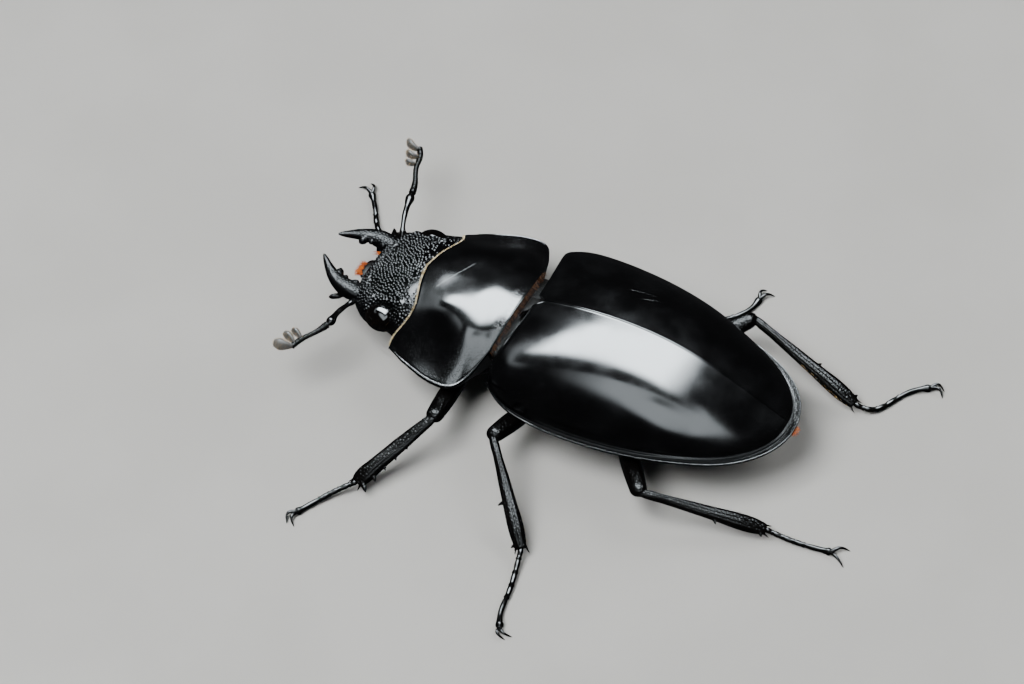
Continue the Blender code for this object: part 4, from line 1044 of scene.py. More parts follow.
def head():
    """The head plate, pitted all over but for the smooth patches behind."""
    first, last = HEAD_CROWN[0][0], HEAD_CROWN[-1][0]
    upper = np.linspace(0, math.pi, HEAD_UPPER, endpoint=False)
    lower = np.linspace(math.pi, math.tau, HEAD_LOWER, endpoint=False)
    angle = np.r_[upper, lower]
    across = np.sign(np.cos(angle)) * np.abs(np.cos(angle)) ** (2 / HEAD_ARCH)
    rise = np.abs(np.sin(angle)) ** (2 / HEAD_ARCH)
    rings = []
    for y in first + (last - first) * np.linspace(0, 1, HEAD_ROWS) ** HEAD_ROW_CROWDING:
        top, low = spline(HEAD_CROWN, y)[0], spline(HEAD_BELLY, y)[0]
        waist = HEAD_WAIST_HEIGHT
        if y < SNOUT_END:
            blend = (y - first) / (SNOUT_END - first)
            waist = min(waist, (top + low) / 2 + SNOUT_LIFT * blend)
        x = spline(HEAD_HALF_WIDTH, y)[0] * across
        over = waist + (top - waist) * rise + head_relief(x, np.full_like(x, y)) * rise
        under = waist - (waist - low) * rise
        rings.append(np.column_stack([x, np.full_like(x, y), np.where(np.sin(angle) >= 0, over, under)]))
    item = heal(surface("head_plate", rings))
    x, y, z = vertices_of(item).T
    patch = np.exp(-((np.abs(x) - PATCH_X) ** 2 / PATCH_SPREAD_X + (y - PATCH_Y) ** 2 / PATCH_SPREAD_Y))
    groove = bump_at(np.hypot(np.abs(x) - GROOVE_X, y - GROOVE_Y), 0, GROOVE_RADIUS)
    upper_side = np.where(z > PITS_FROM_HEIGHT, 1.0, 0.0)
    mask = upper_side * (1 - PATCH_SHARE * patch) * (1 - GROOVE_SHARE * groove)
    paint_mask(item, "pitted", np.clip(mask, 0, 1))
    return grow(
        item, PITTING, Spacing=0.25, Pit_radius=0.125, Pit_depth=0.075, Rim_height=0.012,
        Seed=4, Shell=head_shell,
    )


settle(head(), head_shell, ["head"], crease=180)

# %% [markdown]
# ## Eyes
# A compound eye is a smooth dark dome. From a step away its facets are far too small to see, so
# they aren't modelled one by one: they are a faint cell-like relief in the material, under a very
# glossy surface, and the dome is an egg shape that lies half sunk in the head.

# %% Eyes
EYE_BROWN, EYE_BROWN_WORN = (0.0015, 0.001, 0.0008), (0.003, 0.0018, 0.0012)
eye_material = shell_material(
    "eye_facets", EYE_BROWN, 0.05, points=0.3, point_size=0.04, skin=0.1, worn=EYE_BROWN_WORN,
)
for side in SIDES:
    eye = rounded(f"eye_dome_{side}", sided(side, [EYE_CENTRE])[0], EYE_RADII, 48, 72)
    settle(eye, eye_material, [f"eye_{side}"])

# %% [markdown]
# ## Jaws
# A female's jaws are short sickles with small blunt teeth on the inner side. The blade and teeth
# are separate tapered bodies, fused by the voxel remesh that leaves a soft fillet between them, and
# the upper face is pitted by the same tree as the head.

# %% Jaws
JAW_PATH = ((3.0, 4.3, 4.5), (3.05, 2.6, 4.75), (2.66, 1.45, 5.0), (1.92, 0.42, 5.3), (1.27, -0.32, 5.6))
JAW_HALF_WIDTH = (
    (0.0, 0.7), (0.2, 0.86), (0.42, 0.72), (0.64, 0.5), (0.86, 0.29), (0.95, 0.18), (1.0, 0.08),
)
JAW_HALF_HEIGHT = ((0.0, 0.55), (0.2, 0.66), (0.45, 0.52), (0.72, 0.36), (0.95, 0.16), (1.0, 0.07))
# Blunt teeth of the inner edge: root, tip, radius
JAW_TEETH = (
    ((2.5, 1.75, 4.93), (1.62, 1.52, 5.05), 0.42),
    ((2.45, 2.35, 4.9), (2.02, 2.3, 4.98), 0.28),
    ((2.75, 3.2, 4.8), (2.1, 3.5, 4.95), 0.42),
)
JAW_TOOTH_TAPER = ((0, 1.0), (0.5, 0.85), (0.85, 0.55), (1.0, 0.2))
JAW_ROWS, JAW_SIDES, JAW_ROUNDNESS, JAW_VOXEL = 60, 40, 2.3, 0.035
# How the pits end: along the jaw, toward its outer edge and below its middle, as start and slope
PITS_ALONG, PITS_OUTWARD, PITS_BELOW = (2.0, 2.3), (1.2, 2.0), (0.2, 4)


def jaw(side):
    """A sickle with blunt teeth; its pits thin out toward the tip and the outer edge."""
    path = path_through(sided(side, JAW_PATH), JAW_ROWS)
    blade = tube(path, JAW_HALF_WIDTH, JAW_HALF_HEIGHT, JAW_SIDES, JAW_ROUNDNESS)
    parts = [heal(surface("blade", blade))]
    for root, tip, radius in JAW_TEETH:
        tooth_path = np.linspace(*sided(side, (root, tip)), 14)
        taper = tapered(JAW_TOOTH_TAPER, radius)
        parts.append(heal(surface("tooth", tube(tooth_path, taper, taper, 20))))
    item = fused(f"jaw_{side}", parts, JAW_VOXEL, 4)
    spots = vertices_of(item)
    nearest = np.argmin(np.linalg.norm(spots[:, None, :2] - path[None, :, :2], axis=2), axis=1)
    along = nearest / (JAW_ROWS - 1)
    outward = (spots[:, 0] - path[nearest, 0]) * SIDES[side]
    above = spots[:, 2] - path[nearest, 2]
    mask = np.clip(PITS_ALONG[0] - along * PITS_ALONG[1], 0, 1)
    mask *= np.clip(PITS_OUTWARD[0] - outward * PITS_OUTWARD[1], 0, 1)
    mask *= np.clip((above + PITS_BELOW[0]) * PITS_BELOW[1], 0, 1)
    paint_mask(item, "pitted", mask)
    return grow(
        item, PITTING, Spacing=0.22, Pit_radius=0.11, Pit_depth=0.024, Rim_height=0.004,
        Seed=7 + SIDES[side], Shell=jaw_shell,
    )


for side in SIDES:
    settle(jaw(side), jaw_shell, [f"mandible_{side}"], crease=180)

# %% [markdown]
# ## Upper lip and palps
# The labrum is a small plate between the jaws. The palps are jointed tasters under the mouth, each
# joint a little club with a narrow root. One tube whose radius swells and narrows makes all the
# joints of a palp, because they stay in line.

# %% Upper lip and palps
LABRUM_CENTRE, LABRUM_RADII = (0.05, 3.35, 4.25), (1.15, 0.6, 0.28)
# The height where the lip's pits start, and how fast they deepen above it
LABRUM_PITS_FROM, LABRUM_PITS_SLOPE = 4.3, 5
PALP_PATH = ((2.3, 4.3, 3.05), (2.75, 3.0, 3.45), (3.3, 2.2, 3.55), (3.75, 1.45, 3.45))
PALP_RADIUS = (
    (0.0, 0.2), (0.16, 0.25), (0.3, 0.27), (0.35, 0.16), (0.4, 0.2), (0.58, 0.24), (0.63, 0.15),
    (0.68, 0.2), (0.86, 0.24), (0.96, 0.17), (1.0, 0.06),
)


def labrum():
    """The upper lip, pitted on its upper side."""
    item = rounded("upper_lip", LABRUM_CENTRE, LABRUM_RADII, 50, 80)
    spots = vertices_of(item)
    paint_mask(item, "pitted", np.clip((spots[:, 2] - LABRUM_PITS_FROM) * LABRUM_PITS_SLOPE, 0, 1))
    return grow(
        item, PITTING, Spacing=0.16, Pit_radius=0.06, Pit_depth=0.025, Rim_height=0.006,
        Seed=11, Shell=mouth_shell,
    )


settle(labrum(), mouth_shell, ["labrum"], crease=180)
for side in SIDES:
    palp_path = path_through(sided(side, PALP_PATH), 70)
    palp = surface(f"palp_{side}_joints", tube(palp_path, PALP_RADIUS, PALP_RADIUS, 24))
    settle(heal(palp), smooth_leg_shell, [f"palp_{side}"])

# %% [markdown]
# ## Feelers
# Stag beetles have elbowed feelers: one long joint, a run of tight little beads, and a club of
# rounded petals that open to one side. The petals are grey with a golden edge, because their skin
# is a felt of tiny hairs. A loop cuts one curve into the beads, so they always follow the bend.

# %% Sizes of the feelers
SCAPES = {
    "left": ((4.05, 4.15, 4.75), (5.43, 3.8, 5.0), (6.47, 3.66, 5.1), (7.2, 3.7, 5.2), (7.75, 3.66, 5.25)),
    "right": ((-4.2, 4.25, 4.7), (-5.4, 3.75, 5.1), (-6.7, 3.32, 5.25), (-8.5, 2.9, 5.25)),
}
SCAPE_RADIUS = (
    (0.0, 0.2), (0.08, 0.27), (0.18, 0.22), (0.45, 0.24), (0.75, 0.3), (0.93, 0.35), (1.0, 0.16),
)
BEAD_PATHS = {
    "left": ((7.75, 3.66, 5.25), (9.1, 3.14, 5.28), (10.3, 2.5, 5.3), (11.3, 2.2, 5.3)),
    "right": (
        (-8.5, 2.9, 5.25), (-9.6, 2.6, 5.28), (-11.5, 1.75, 5.3), (-12.6, 1.5, 5.3), (-13.5, 0.95, 5.3),
    ),
}
BEADS = {"left": 9, "right": 12}
BEAD_STEPS, BEAD_OVERLAP = 20, 2
BEAD_SIZES = ((0.0, 0.3), (0.12, 0.27), (0.35, 0.22), (0.7, 0.24), (1.0, 0.26))
# A bead between its two narrow ends: share of its length, share of its size; and an end's radius
BEAD_SWELLING = ((0.1, 0.7), (0.5, 0.95), (0.8, 1.0), (0.95, 0.8))
BEAD_END = 0.05
# Each petal: stem, middle and tip, half thickness, half height
PETALS = {
    "left": (
        ((10.25, 2.55, 5.3), (9.93, 1.95, 5.45), (9.8, 1.38, 5.5), 0.27, 0.4),
        ((10.95, 2.3, 5.3), (10.62, 1.6, 5.5), (10.5, 0.98, 5.55), 0.3, 0.46),
        ((11.3, 2.25, 5.3), (11.55, 1.5, 5.4), (11.75, 0.68, 5.45), 0.42, 0.56),
    ),
    "right": (
        ((-11.75, 1.6, 5.3), (-11.5, 1.15, 5.4), (-11.62, 0.65, 5.45), 0.25, 0.36),
        ((-12.55, 1.45, 5.3), (-12.3, 0.85, 5.45), (-12.55, 0.25, 5.5), 0.29, 0.42),
        ((-13.3, 1.1, 5.3), (-13.3, 0.4, 5.45), (-13.75, -0.28, 5.5), 0.32, 0.46),
    ),
}
PETAL_SHAPE = (
    (0.0, 0.3), (0.2, 0.62), (0.5, 0.95), (0.75, 1.0), (0.92, 0.72), (0.985, 0.35), (1.0, 0.1),
)

# %% Velvet of the clubs
VELVET_GREY, VELVET_PALE, VELVET_SHEEN = (0.025, 0.024, 0.022), (0.075, 0.07, 0.06), 0.4
club_material = shell_material("club_velvet", VELVET_GREY, 0.5, points=9, point_size=0.07, worn=VELVET_PALE)
club_material.node_tree.nodes["Principled BSDF"].inputs["Sheen Weight"].default_value = VELVET_SHEEN
print("velvet:", club_material.name)

# %% Feelers


def feeler_stalk(side):
    """The long joint and the beads after it."""
    scape = tube(path_through(SCAPES[side], 60), SCAPE_RADIUS, SCAPE_RADIUS, 24)
    parts = [heal(surface("scape", scape))]
    count = BEADS[side]
    path = path_through(BEAD_PATHS[side], count * BEAD_STEPS + 1)
    for number in range(count):
        start = number * BEAD_STEPS
        size = spline(BEAD_SIZES, number / (count - 1))[0]
        shape = [(0, BEAD_END), *tapered(BEAD_SWELLING, size), (1, BEAD_END)]
        bead = tube(path[start : start + BEAD_STEPS + BEAD_OVERLAP], shape, shape, 20)
        parts.append(heal(surface("bead", bead)))
    return joined(f"feeler_{side}", parts)


def petals(side):
    """The petals of one club, each a thick rounded leaf."""
    leaves = []
    for stem, middle, tip, thick, tall in PETALS[side]:
        widths, heights = tapered(PETAL_SHAPE, thick), tapered(PETAL_SHAPE, tall)
        rings = tube(path_through([stem, middle, tip], 40), widths, heights, 36)
        leaves.append(heal(surface("leaf", rings)))
    return joined(f"club_{side}", leaves)


for side in SIDES:
    settle(feeler_stalk(side), smooth_leg_shell, [f"antenna_{side}"])
    settle(petals(side), club_material, [f"antenna_{side}"])

# %% [markdown]
# ## Bristles, grown with Geometry Nodes
# Most of a stag beetle is bare, so its few bristles stand out: an orange brush at the lip, a pale
# fringe along the front edge of the thorax, rusty hair in the gap behind it, golden hair on the
# shins and felt on the clubs. A strip of skin says where each group grows and which way it lies.
# The tree scatters roots over the strip, sets a curved three-sided cone on each and tilts it a
# little at random. Hair curves would be quicker, but only a mesh can leave Blender as it is. Each
# bristle also gets its own small patch of the unwrap, at its root's place, so that its colour can
# be kept in a picture later.

# %% The bristle tree
PATCH_SIZE = 0.003
PATCH_TURN = 0.94, 0.34
BRISTLE_SIDES, BRISTLE_STEPS, BRISTLE_TIP = 3, 4, 0.15
BRISTLE_SIZES = {2: 0.65, 3: 1.15}
ANY_WAY = {0: (-1.0, -1.0, -1.0), 1: (1.0, 1.0, 1.0)}


def bristle_tree():
    """Plants curved cones on a strip of skin and keeps a small patch of the unwrap for each."""
    tree = bpy.data.node_groups.new("bristles", "GeometryNodeTree")
    sockets = tree.interface
    sockets.new_socket(name="Skin", in_out="INPUT", socket_type="NodeSocketGeometry")
    for name in ("Crowd", "Length", "Radius", "Spread", "Droop"):
        sockets.new_socket(name=name, in_out="INPUT", socket_type="NodeSocketFloat")
    sockets.new_socket(name="Seed", in_out="INPUT", socket_type="NodeSocketInt")
    sockets.new_socket(name="Bristle", in_out="INPUT", socket_type="NodeSocketMaterial")
    sockets.new_socket(name="Bristles", in_out="OUTPUT", socket_type="NodeSocketGeometry")
    given = add_node(tree, "NodeGroupInput").outputs
    roots = add_node(tree, "GeometryNodeDistributePointsOnFaces", {
        "Mesh": given["Skin"], "Density": given["Crowd"], "Seed": given["Seed"],
    }, distribute_method="RANDOM").outputs["Points"]
    slim = calc(tree, "DIVIDE", given["Radius"], given["Length"])
    cone = add_node(tree, "GeometryNodeMeshCone", {
        "Vertices": BRISTLE_SIDES, "Side Segments": BRISTLE_STEPS, "Radius Bottom": slim,
        "Radius Top": calc(tree, "MULTIPLY", slim, BRISTLE_TIP), "Depth": 1.0,
    }, fill_type="TRIANGLE_FAN").outputs["Mesh"]
    spot = add_node(tree, "GeometryNodeInputPosition").outputs["Position"]
    split = add_node(tree, "ShaderNodeSeparateXYZ", {"Vector": spot}).outputs
    sideways = (calc(tree, "MULTIPLY", split[axis], share) for axis, share in zip("XY", PATCH_TURN))
    turned = calc(tree, "ADD", *sideways)
    around = calc(tree, "DIVIDE", turned, calc(tree, "MULTIPLY", slim, 2.0))
    patch = add_node(tree, "ShaderNodeCombineXYZ", {"X": around, "Y": split["Z"]}).outputs["Vector"]
    marked = add_node(tree, "GeometryNodeStoreNamedAttribute", {
        "Geometry": cone, "Name": "patch", "Value": patch,
    }, data_type="FLOAT_VECTOR", domain="POINT").outputs["Geometry"]
    droop = calc(tree, "MULTIPLY", given["Droop"], calc(tree, "MULTIPLY", split["Z"], split["Z"]))
    droop = add_node(tree, "ShaderNodeCombineXYZ", {"X": droop}).outputs["Vector"]
    curved = add_node(tree, "GeometryNodeSetPosition", {
        "Geometry": marked, "Offset": droop,
    }).outputs["Geometry"]
    comb = add_node(tree, "GeometryNodeInputNamedAttribute", {"Name": "comb"}, data_type="FLOAT_VECTOR")
    stray = add_node(tree, "FunctionNodeRandomValue", ANY_WAY, data_type="FLOAT_VECTOR").outputs[0]
    stray = add_node(tree, "ShaderNodeVectorMath", {0: stray, "Scale": given["Spread"]}, operation="SCALE")
    aim = add_node(tree, "ShaderNodeVectorMath", {
        0: comb.outputs["Attribute"], 1: stray.outputs["Vector"],
    }, operation="ADD").outputs["Vector"]
    turn = add_node(tree, "FunctionNodeAlignRotationToVector", {"Vector": aim}, axis="Z")
    turn = add_node(tree, "FunctionNodeAlignRotationToVector", {
        "Rotation": turn.outputs["Rotation"], "Vector": (0.0, 0.0, -1.0),
    }, axis="X", pivot_axis="Z").outputs["Rotation"]
    sizes = add_node(tree, "FunctionNodeRandomValue", BRISTLE_SIZES, data_type="FLOAT").outputs[1]
    planted = add_node(tree, "GeometryNodeInstanceOnPoints", {
        "Points": roots, "Instance": curved, "Rotation": turn,
        "Scale": calc(tree, "MULTIPLY", sizes, given["Length"]),
    }).outputs["Instances"]
    real = add_node(tree, "GeometryNodeRealizeInstances", {"Geometry": planted}).outputs["Geometry"]
    root_place, own_place = (
        add_node(tree, "GeometryNodeInputNamedAttribute", {"Name": name}, data_type="FLOAT_VECTOR")
        for name in ("unwrap", "patch")
    )
    small = add_node(tree, "ShaderNodeVectorMath", {
        0: own_place.outputs["Attribute"], "Scale": PATCH_SIZE,
    }, operation="SCALE")
    place = add_node(tree, "ShaderNodeVectorMath", {
        0: root_place.outputs["Attribute"], 1: small.outputs["Vector"],
    }, operation="ADD")
    mapped = add_node(tree, "GeometryNodeStoreNamedAttribute", {
        "Geometry": real, "Name": "OFBake", "Value": place.outputs["Vector"],
    }, data_type="FLOAT2", domain="CORNER").outputs["Geometry"]
    coated = add_node(tree, "GeometryNodeSetMaterial", {
        "Geometry": mapped, "Material": given["Bristle"],
    }).outputs["Geometry"]
    add_node(tree, "NodeGroupOutput", {"Bristles": coated})
    return tree


BRISTLES = bristle_tree()
print("bristle tree:", len(BRISTLES.nodes), "nodes")

# %% Strips of skin
# The part of the unwrap that a strip fills: from and over, along it and in its own band
UNWRAP_ALONG = 0.02, 0.96
UNWRAP_ACROSS = 0.1, 0.8


def row_of(x, y, z):
    """Points in a row: each of x, y and z has one value per point, or one for all."""
    return np.column_stack(np.broadcast_arrays(np.asarray(x, float), y, z))


def paint_vectors(item, name, values):
    """Stores one vector per vertex, for nodes to read."""
    layer = item.data.attributes.new(name, "FLOAT_VECTOR", "POINT")
    layer.data.foreach_set("vector", np.asarray(values, np.float32).ravel())


def skin_strips(name, strips):
    """One mesh of strips, each with two edges, the way its hair lies and its band of the unwrap."""
    spots, faces, combs, unwraps = [], [], [], []
    for number, (near, far, comb) in enumerate(strips):
        count, first = len(near), len(spots)
        for k, edge in enumerate((near, far)):
            spots += np.asarray(edge, float).tolist()
            combs += np.broadcast_to(comb, (count, 3)).tolist()
            height = (number + UNWRAP_ACROSS[0] + UNWRAP_ACROSS[1] * k) / len(strips)
            along = UNWRAP_ALONG[0] + UNWRAP_ALONG[1] * np.linspace(0, 1, count)
            unwraps += [(place, height, 0.0) for place in along]
        for i in range(first, first + count - 1):
            faces.append((i, i + 1, i + count + 1, i + count))
    mesh = bpy.data.meshes.new(name)
    mesh.from_pydata(spots, [], faces)
    item = linked(name, mesh)
    paint_vectors(item, "comb", combs)
    paint_vectors(item, "unwrap", unwraps)
    return item


# %% [markdown]
# ## Colours of the hair
# Bristles are horn, from pale gold to rust. Each group has a dark and a light tint, and a slow
# noise lets the colour drift from one bristle to the next, as it does on a real brush. The amber
# bristles are rougher than the rest, because those of the lip are feathered.

# %% Hair materials
HAIR_DRIFT_SCALE, HAIR_GRAIN_SCALE, HAIR_GRAIN = 2600.0, 30000.0, 3.0
HAIR_DRIFT_SPAN = 0.35, 0.65


def hair_material(name, dark, light, roughness=0.42, gloss=0.5):
    """Horn whose colour drifts from one bristle to the next."""
    material = bpy.data.materials.new(name)
    material.use_nodes = True
    tree = material.node_tree
    shader = tree.nodes["Principled BSDF"]
    place = add_node(tree, "ShaderNodeTexCoord").outputs["Object"]
    drift, grain = (
        add_node(tree, "ShaderNodeTexNoise", {"Vector": place, "Scale": scale, "Detail": detail})
        for scale, detail in ((HAIR_DRIFT_SCALE, 2.0), (HAIR_GRAIN_SCALE, 1.0))
    )
    tint = add_node(tree, "ShaderNodeMix", {
        "Factor": remap(tree, drift.outputs["Fac"], *HAIR_DRIFT_SPAN), "A": (*dark, 1), "B": (*light, 1),
    }, data_type="RGBA")
    height = calc(tree, "MULTIPLY", grain.outputs["Fac"], HAIR_GRAIN * MICROMETRE)
    relief = add_node(tree, "ShaderNodeBump", {"Height": height, "Distance": 1.0, "Strength": 1.0})
    tree.links.new(tint.outputs["Result"], shader.inputs["Base Color"])
    tree.links.new(relief.outputs["Normal"], shader.inputs["Normal"])
    shader.inputs["Roughness"].default_value = roughness
    shader.inputs["Specular IOR Level"].default_value = gloss
    return material


amber_bristle = hair_material("amber_bristle", (0.34, 0.045, 0.0), (0.64, 0.15, 0.0), 0.7, 0.1)
rust_bristle = hair_material("rust_bristle", (0.1, 0.03, 0.008), (0.32, 0.12, 0.03))
pale_fringe = hair_material("pale_fringe", (0.5, 0.37, 0.17), (0.85, 0.72, 0.45))
golden_hair = hair_material("golden_hair", (0.22, 0.12, 0.03), (0.6, 0.4, 0.15))
print("hair:", [hair.name for hair in (amber_bristle, rust_bristle, pale_fringe, golden_hair)])

# %% Planting


def plant(skin, material, **inputs):
    """Grows bristles on a skin and hands in the bristles alone."""
    item = grow(skin, BRISTLES, Bristle=material, **inputs)
    for layer in ("comb", "unwrap", "patch"):
        item.data.attributes.remove(item.data.attributes[layer])
    return settle(item, material, crease=80)


# %% [markdown]
# ## Brush of the lip
# Between the jaws a thick orange brush mops up sap. It grows from the front of the upper lip and
# fans out a little to each side, with a small tuft of its own by the other jaw. It is the one
# bright colour of the head, so it is dense enough to hide its roots.

# %% Brush of the lip
lip_x = np.linspace(-0.4, 0.95, 14)
lip_row = row_of(lip_x, 3.02 + 0.12 * lip_x**2, 4.22)
lip_comb = row_of(0.25 * lip_x - 0.1, -1.0, 0.12)
corner_row = row_of(np.linspace(-1.9, -1.6, 4), 3.6, 4.6)
plant(skin_strips("lip_brush", [
    (lip_row, lip_row + (0.0, 0.12, 0.2), lip_comb),
    (corner_row, corner_row + (0.0, 0.05, 0.05), (0.3, -1.0, 0.1)),
]), amber_bristle, Crowd=1000.0, Length=0.74, Radius=0.026, Spread=0.24, Droop=0.16, Seed=21)

# %% [markdown]
# ## Fringes of the thorax
# A line of short pale hair follows the front edge of the thorax, and longer rusty hair hangs in the
# gap behind it. Both rows of roots are read from the thorax's own surface, so that they stay on its
# edges whatever its shape.

# %% Fringes of the thorax
fringe_rows = pronotum_top(np.linspace(0, 0.97, 70))
front_row, hind_row = (np.vstack([half[:0:-1] * (-1, 1, 1), half]) for half in fringe_rows[[0, -1]])
plant(skin_strips("collar_fringe", [
    (front_row, front_row + (0, 0.01, -0.09), (0.0, -1.0, -0.2)),
]), pale_fringe, Crowd=1700.0, Length=0.2, Radius=0.014, Spread=0.2, Droop=0.12, Seed=22)
plant(skin_strips("waist_fringe", [
    (hind_row + (0, -0.1, -0.4), hind_row + (0, -0.15, -0.6), (0.0, 0.8, -0.6)),
]), rust_bristle, Crowd=150.0, Length=0.5, Radius=0.013, Spread=0.4, Droop=0.25, Seed=23)

# %% [markdown]
# ## Felt of the clubs
# The petals' felt is short golden hair all over them. Here the skin is a copy of the petals
# themselves, with each hair standing out along its surface and leaning forward. The copy's upper
# and lower sides lie next to each other in the unwrap.

# %% Felt of the clubs
FELT_STAND, FELT_LEAN = 0.9, (0, -0.55, 0.2)
UNWRAP_MARGIN = 0.05
for side in SIDES:
    felt = petals(side)
    felt.name = f"club_felt_{side}"
    spots = vertices_of(felt)
    normals = np.array([vertex.normal for vertex in felt.data.vertices])
    low, high = spots.min(axis=0), spots.max(axis=0)
    place = UNWRAP_MARGIN + (1 - 2 * UNWRAP_MARGIN) * (spots - low) / (high - low)
    place[:, 0] = (place[:, 0] + (normals[:, 2] < 0)) / 2
    place[:, 2] = 0
    paint_vectors(felt, "comb", normals * FELT_STAND + FELT_LEAN)
    paint_vectors(felt, "unwrap", place)
    plant(felt, golden_hair, Crowd=110.0, Length=0.11, Radius=0.008, Spread=0.25, Droop=0.2, Seed=24)

# %% [markdown]
# ## Legs
# Each leg is a hip, a small ring joint, a thick thigh, a flattened shin with teeth on its outer
# edge and two spurs at its end, and a foot of five joints with a pair of claws. All six come from
# the same functions, and only the points of their pose differ, so a change to one shin is a change
# to all.

# %% Poses of the legs
# Each leg: hip, knee, end of the shin, and the bends of the foot to its last joint
LEGS = {
    "front_left": ((3.0, 14.8, 1.6), (11.8, 15.85, 4.2), (18.5, 12.2, 1.0),
                   ((19.7, 11.1, 0.65), (21.5, 9.95, 0.42), (23.3, 8.95, 0.3))),
    "mid_left": ((3.3, 22.3, 1.5), (11.4, 21.2, 4.4), (18.3, 27.45, 0.95),
                 ((19.9, 27.85, 0.55), (22.4, 28.4, 0.3), (24.6, 28.8, 0.3), (26.0, 29.5, 0.3))),
    "hind_left": ((3.2, 28.8, 1.5), (10.8, 34.4, 4.0), (7.3, 44.3, 0.95),
                  ((7.1, 45.7, 0.55), (6.8, 48.0, 0.3), (6.45, 50.1, 0.3))),
    "front_right": ((-2.2, 15.4, 1.6), (-7.6, 9.0, 3.0), (-6.3, 1.75, 0.9),
                    ((-6.95, 0.45, 0.55), (-9.3, -1.3, 0.3), (-11.0, -2.65, 0.3))),
    "mid_right": ((-2.8, 23.0, 1.5), (-9.4, 19.2, 4.0), (-9.8, 28.2, 0.95),
                  ((-10.3, 29.4, 0.55), (-12.2, 31.6, 0.3),
                   (-14.1, 32.85, 0.3), (-15.85, 33.1, 0.3))),
    "hind_right": ((-3.2, 28.8, 1.5), (-10.3, 34.75, 4.1), (-8.15, 45.3, 0.95),
                   ((-8.5, 46.6, 0.55), (-10.6, 47.95, 0.3),
                    (-12.4, 49.1, 0.3), (-13.35, 50.4, 0.3))),
}
# Which side of the shin, seen along it, is its outer edge
OUTER_EDGE = {
    "front_left": -1, "mid_left": 1, "hind_left": 1,
    "front_right": 1, "mid_right": -1, "hind_right": -1,
}
# Each pair of claws: the way they turn from the foot's last joint, in degrees, and their spread
CLAWS = {
    "front_left": (60, 0.35), "mid_left": (65, 0.32), "hind_left": (-10, 0.75),
    "front_right": (30, 0.5), "mid_right": (-35, 0.4), "hind_right": (-60, 0.35),
}

# %% Sizes of the legs
# Each table gives a share of the length first, then a half width, half height or radius
COXA_INWARD, COXA_RISE, COXA_RADIUS = 1.1, 0.55, 0.75
# How far the hip reaches past its joint, and where the thigh starts, in hip radii
COXA_REACH, FEMUR_START = 0.4, 0.75
COXA_SHAPE = ((0, 0.3), (0.15, 0.64), (0.5, 0.76), (0.85, 0.64), (0.96, 0.42), (1, 0.2))
RING_FROM, RING_TO = 0.25, 1.35
RING_SHAPE = ((0, 0.3), (0.3, 0.5), (0.7, 0.52), (1, 0.3))
FEMUR_HALF_WIDTH = (
    (0.0, 0.4), (0.08, 0.58), (0.3, 0.77), (0.65, 0.84), (0.9, 0.74), (0.97, 0.56), (1.0, 0.3),
)
FEMUR_HALF_HEIGHT = (
    (0.0, 0.35), (0.08, 0.52), (0.3, 0.67), (0.65, 0.72), (0.9, 0.64), (0.97, 0.48), (1.0, 0.26),
)
FEMUR_GAP, FEMUR_PAST_KNEE, FEMUR_BOW = 0.2, 0.28, 0.08
TIBIA_HALF_WIDTH = {
    "front": ((0.0, 0.34), (0.06, 0.46), (0.14, 0.5), (0.4, 0.64), (0.8, 0.7), (0.95, 0.68), (1.0, 0.52)),
    "mid": ((0.0, 0.28), (0.06, 0.38), (0.14, 0.38), (0.4, 0.5), (0.6, 0.58), (0.95, 0.54), (1.0, 0.44)),
    "hind": ((0.0, 0.28), (0.06, 0.38), (0.14, 0.37), (0.4, 0.5), (0.65, 0.6), (0.95, 0.6), (1.0, 0.48)),
}
TIBIA_HALF_HEIGHT = ((0.0, 0.28), (0.1, 0.36), (0.5, 0.42), (0.95, 0.45), (1.0, 0.34))
FEMUR_ROUNDNESS, TIBIA_ROUNDNESS = 2.2, 2.4
TIBIA_START, TIBIA_BOW, TIBIA_VOXEL = 0.1, 0.06, 0.05
TIBIA_FLUTES, TIBIA_FLUTE_DEPTH = 8, 0.1
# Each tooth: share of the shin's length, reach beyond its edge, radius at the root
TIBIA_TEETH = {
    "front": ((0.36, 0.22, 0.2), (0.52, 0.28, 0.22), (0.67, 0.36, 0.24),
              (0.82, 0.5, 0.28), (0.955, 0.75, 0.32)),
    "mid": ((0.56, 0.5, 0.22), (0.96, 0.35, 0.24)),
    "hind": ((0.58, 0.45, 0.22), (0.96, 0.35, 0.24)),
}
TOOTH_START, TOOTH_DEPTH, TOOTH_LEAN, TOOTH_BEND = 0.45, 0.35, 0.45, 0.05
SPUR_LENGTH, SPUR_RADIUS, SPUR_ROOT, SPUR_SPREAD, SPUR_DROP = 0.7, 0.12, 0.36, 0.66, 0.2
SPUR_BACK = 0.35
# The two spurs' lengths: their mean share of SPUR_LENGTH, and how far each is off it
SPUR_MEAN, SPUR_UNEVEN = 0.75, 0.1
FOOT_SEGMENTS = 4
LAST_SEGMENT_SHARE = 0.4
FOOT_STEPS, FOOT_OVERLAP, FOOT_TUCK = 200, 0.03, 0.1
FOOT_JOINT = ((0, 0.13), (0.12, 0.19), (0.6, 0.22), (0.88, 0.245), (0.97, 0.22), (1, 0.13))
LAST_FOOT_JOINT = ((0, 0.13), (0.1, 0.18), (0.5, 0.22), (0.85, 0.31), (0.96, 0.27), (1, 0.1))
CLAW_LENGTH, CLAW_HUMP, CLAW_TIP_HEIGHT = 1.3, 0.16, 0.03
CLAW_ROOT_STEP, CLAW_AIM_STEP = 10, 20
# A claw's bend and its tip beyond that: share of its length forward, share of its spread sideways
CLAW_BEND, CLAW_TIP = (0.5, 0.7), (0.6, 0.5)
CLAW_RADIUS = ((0.0, 0.17), (0.3, 0.15), (0.6, 0.1), (0.85, 0.06), (1.0, 0.015))
print("legs:", ", ".join(LEGS))

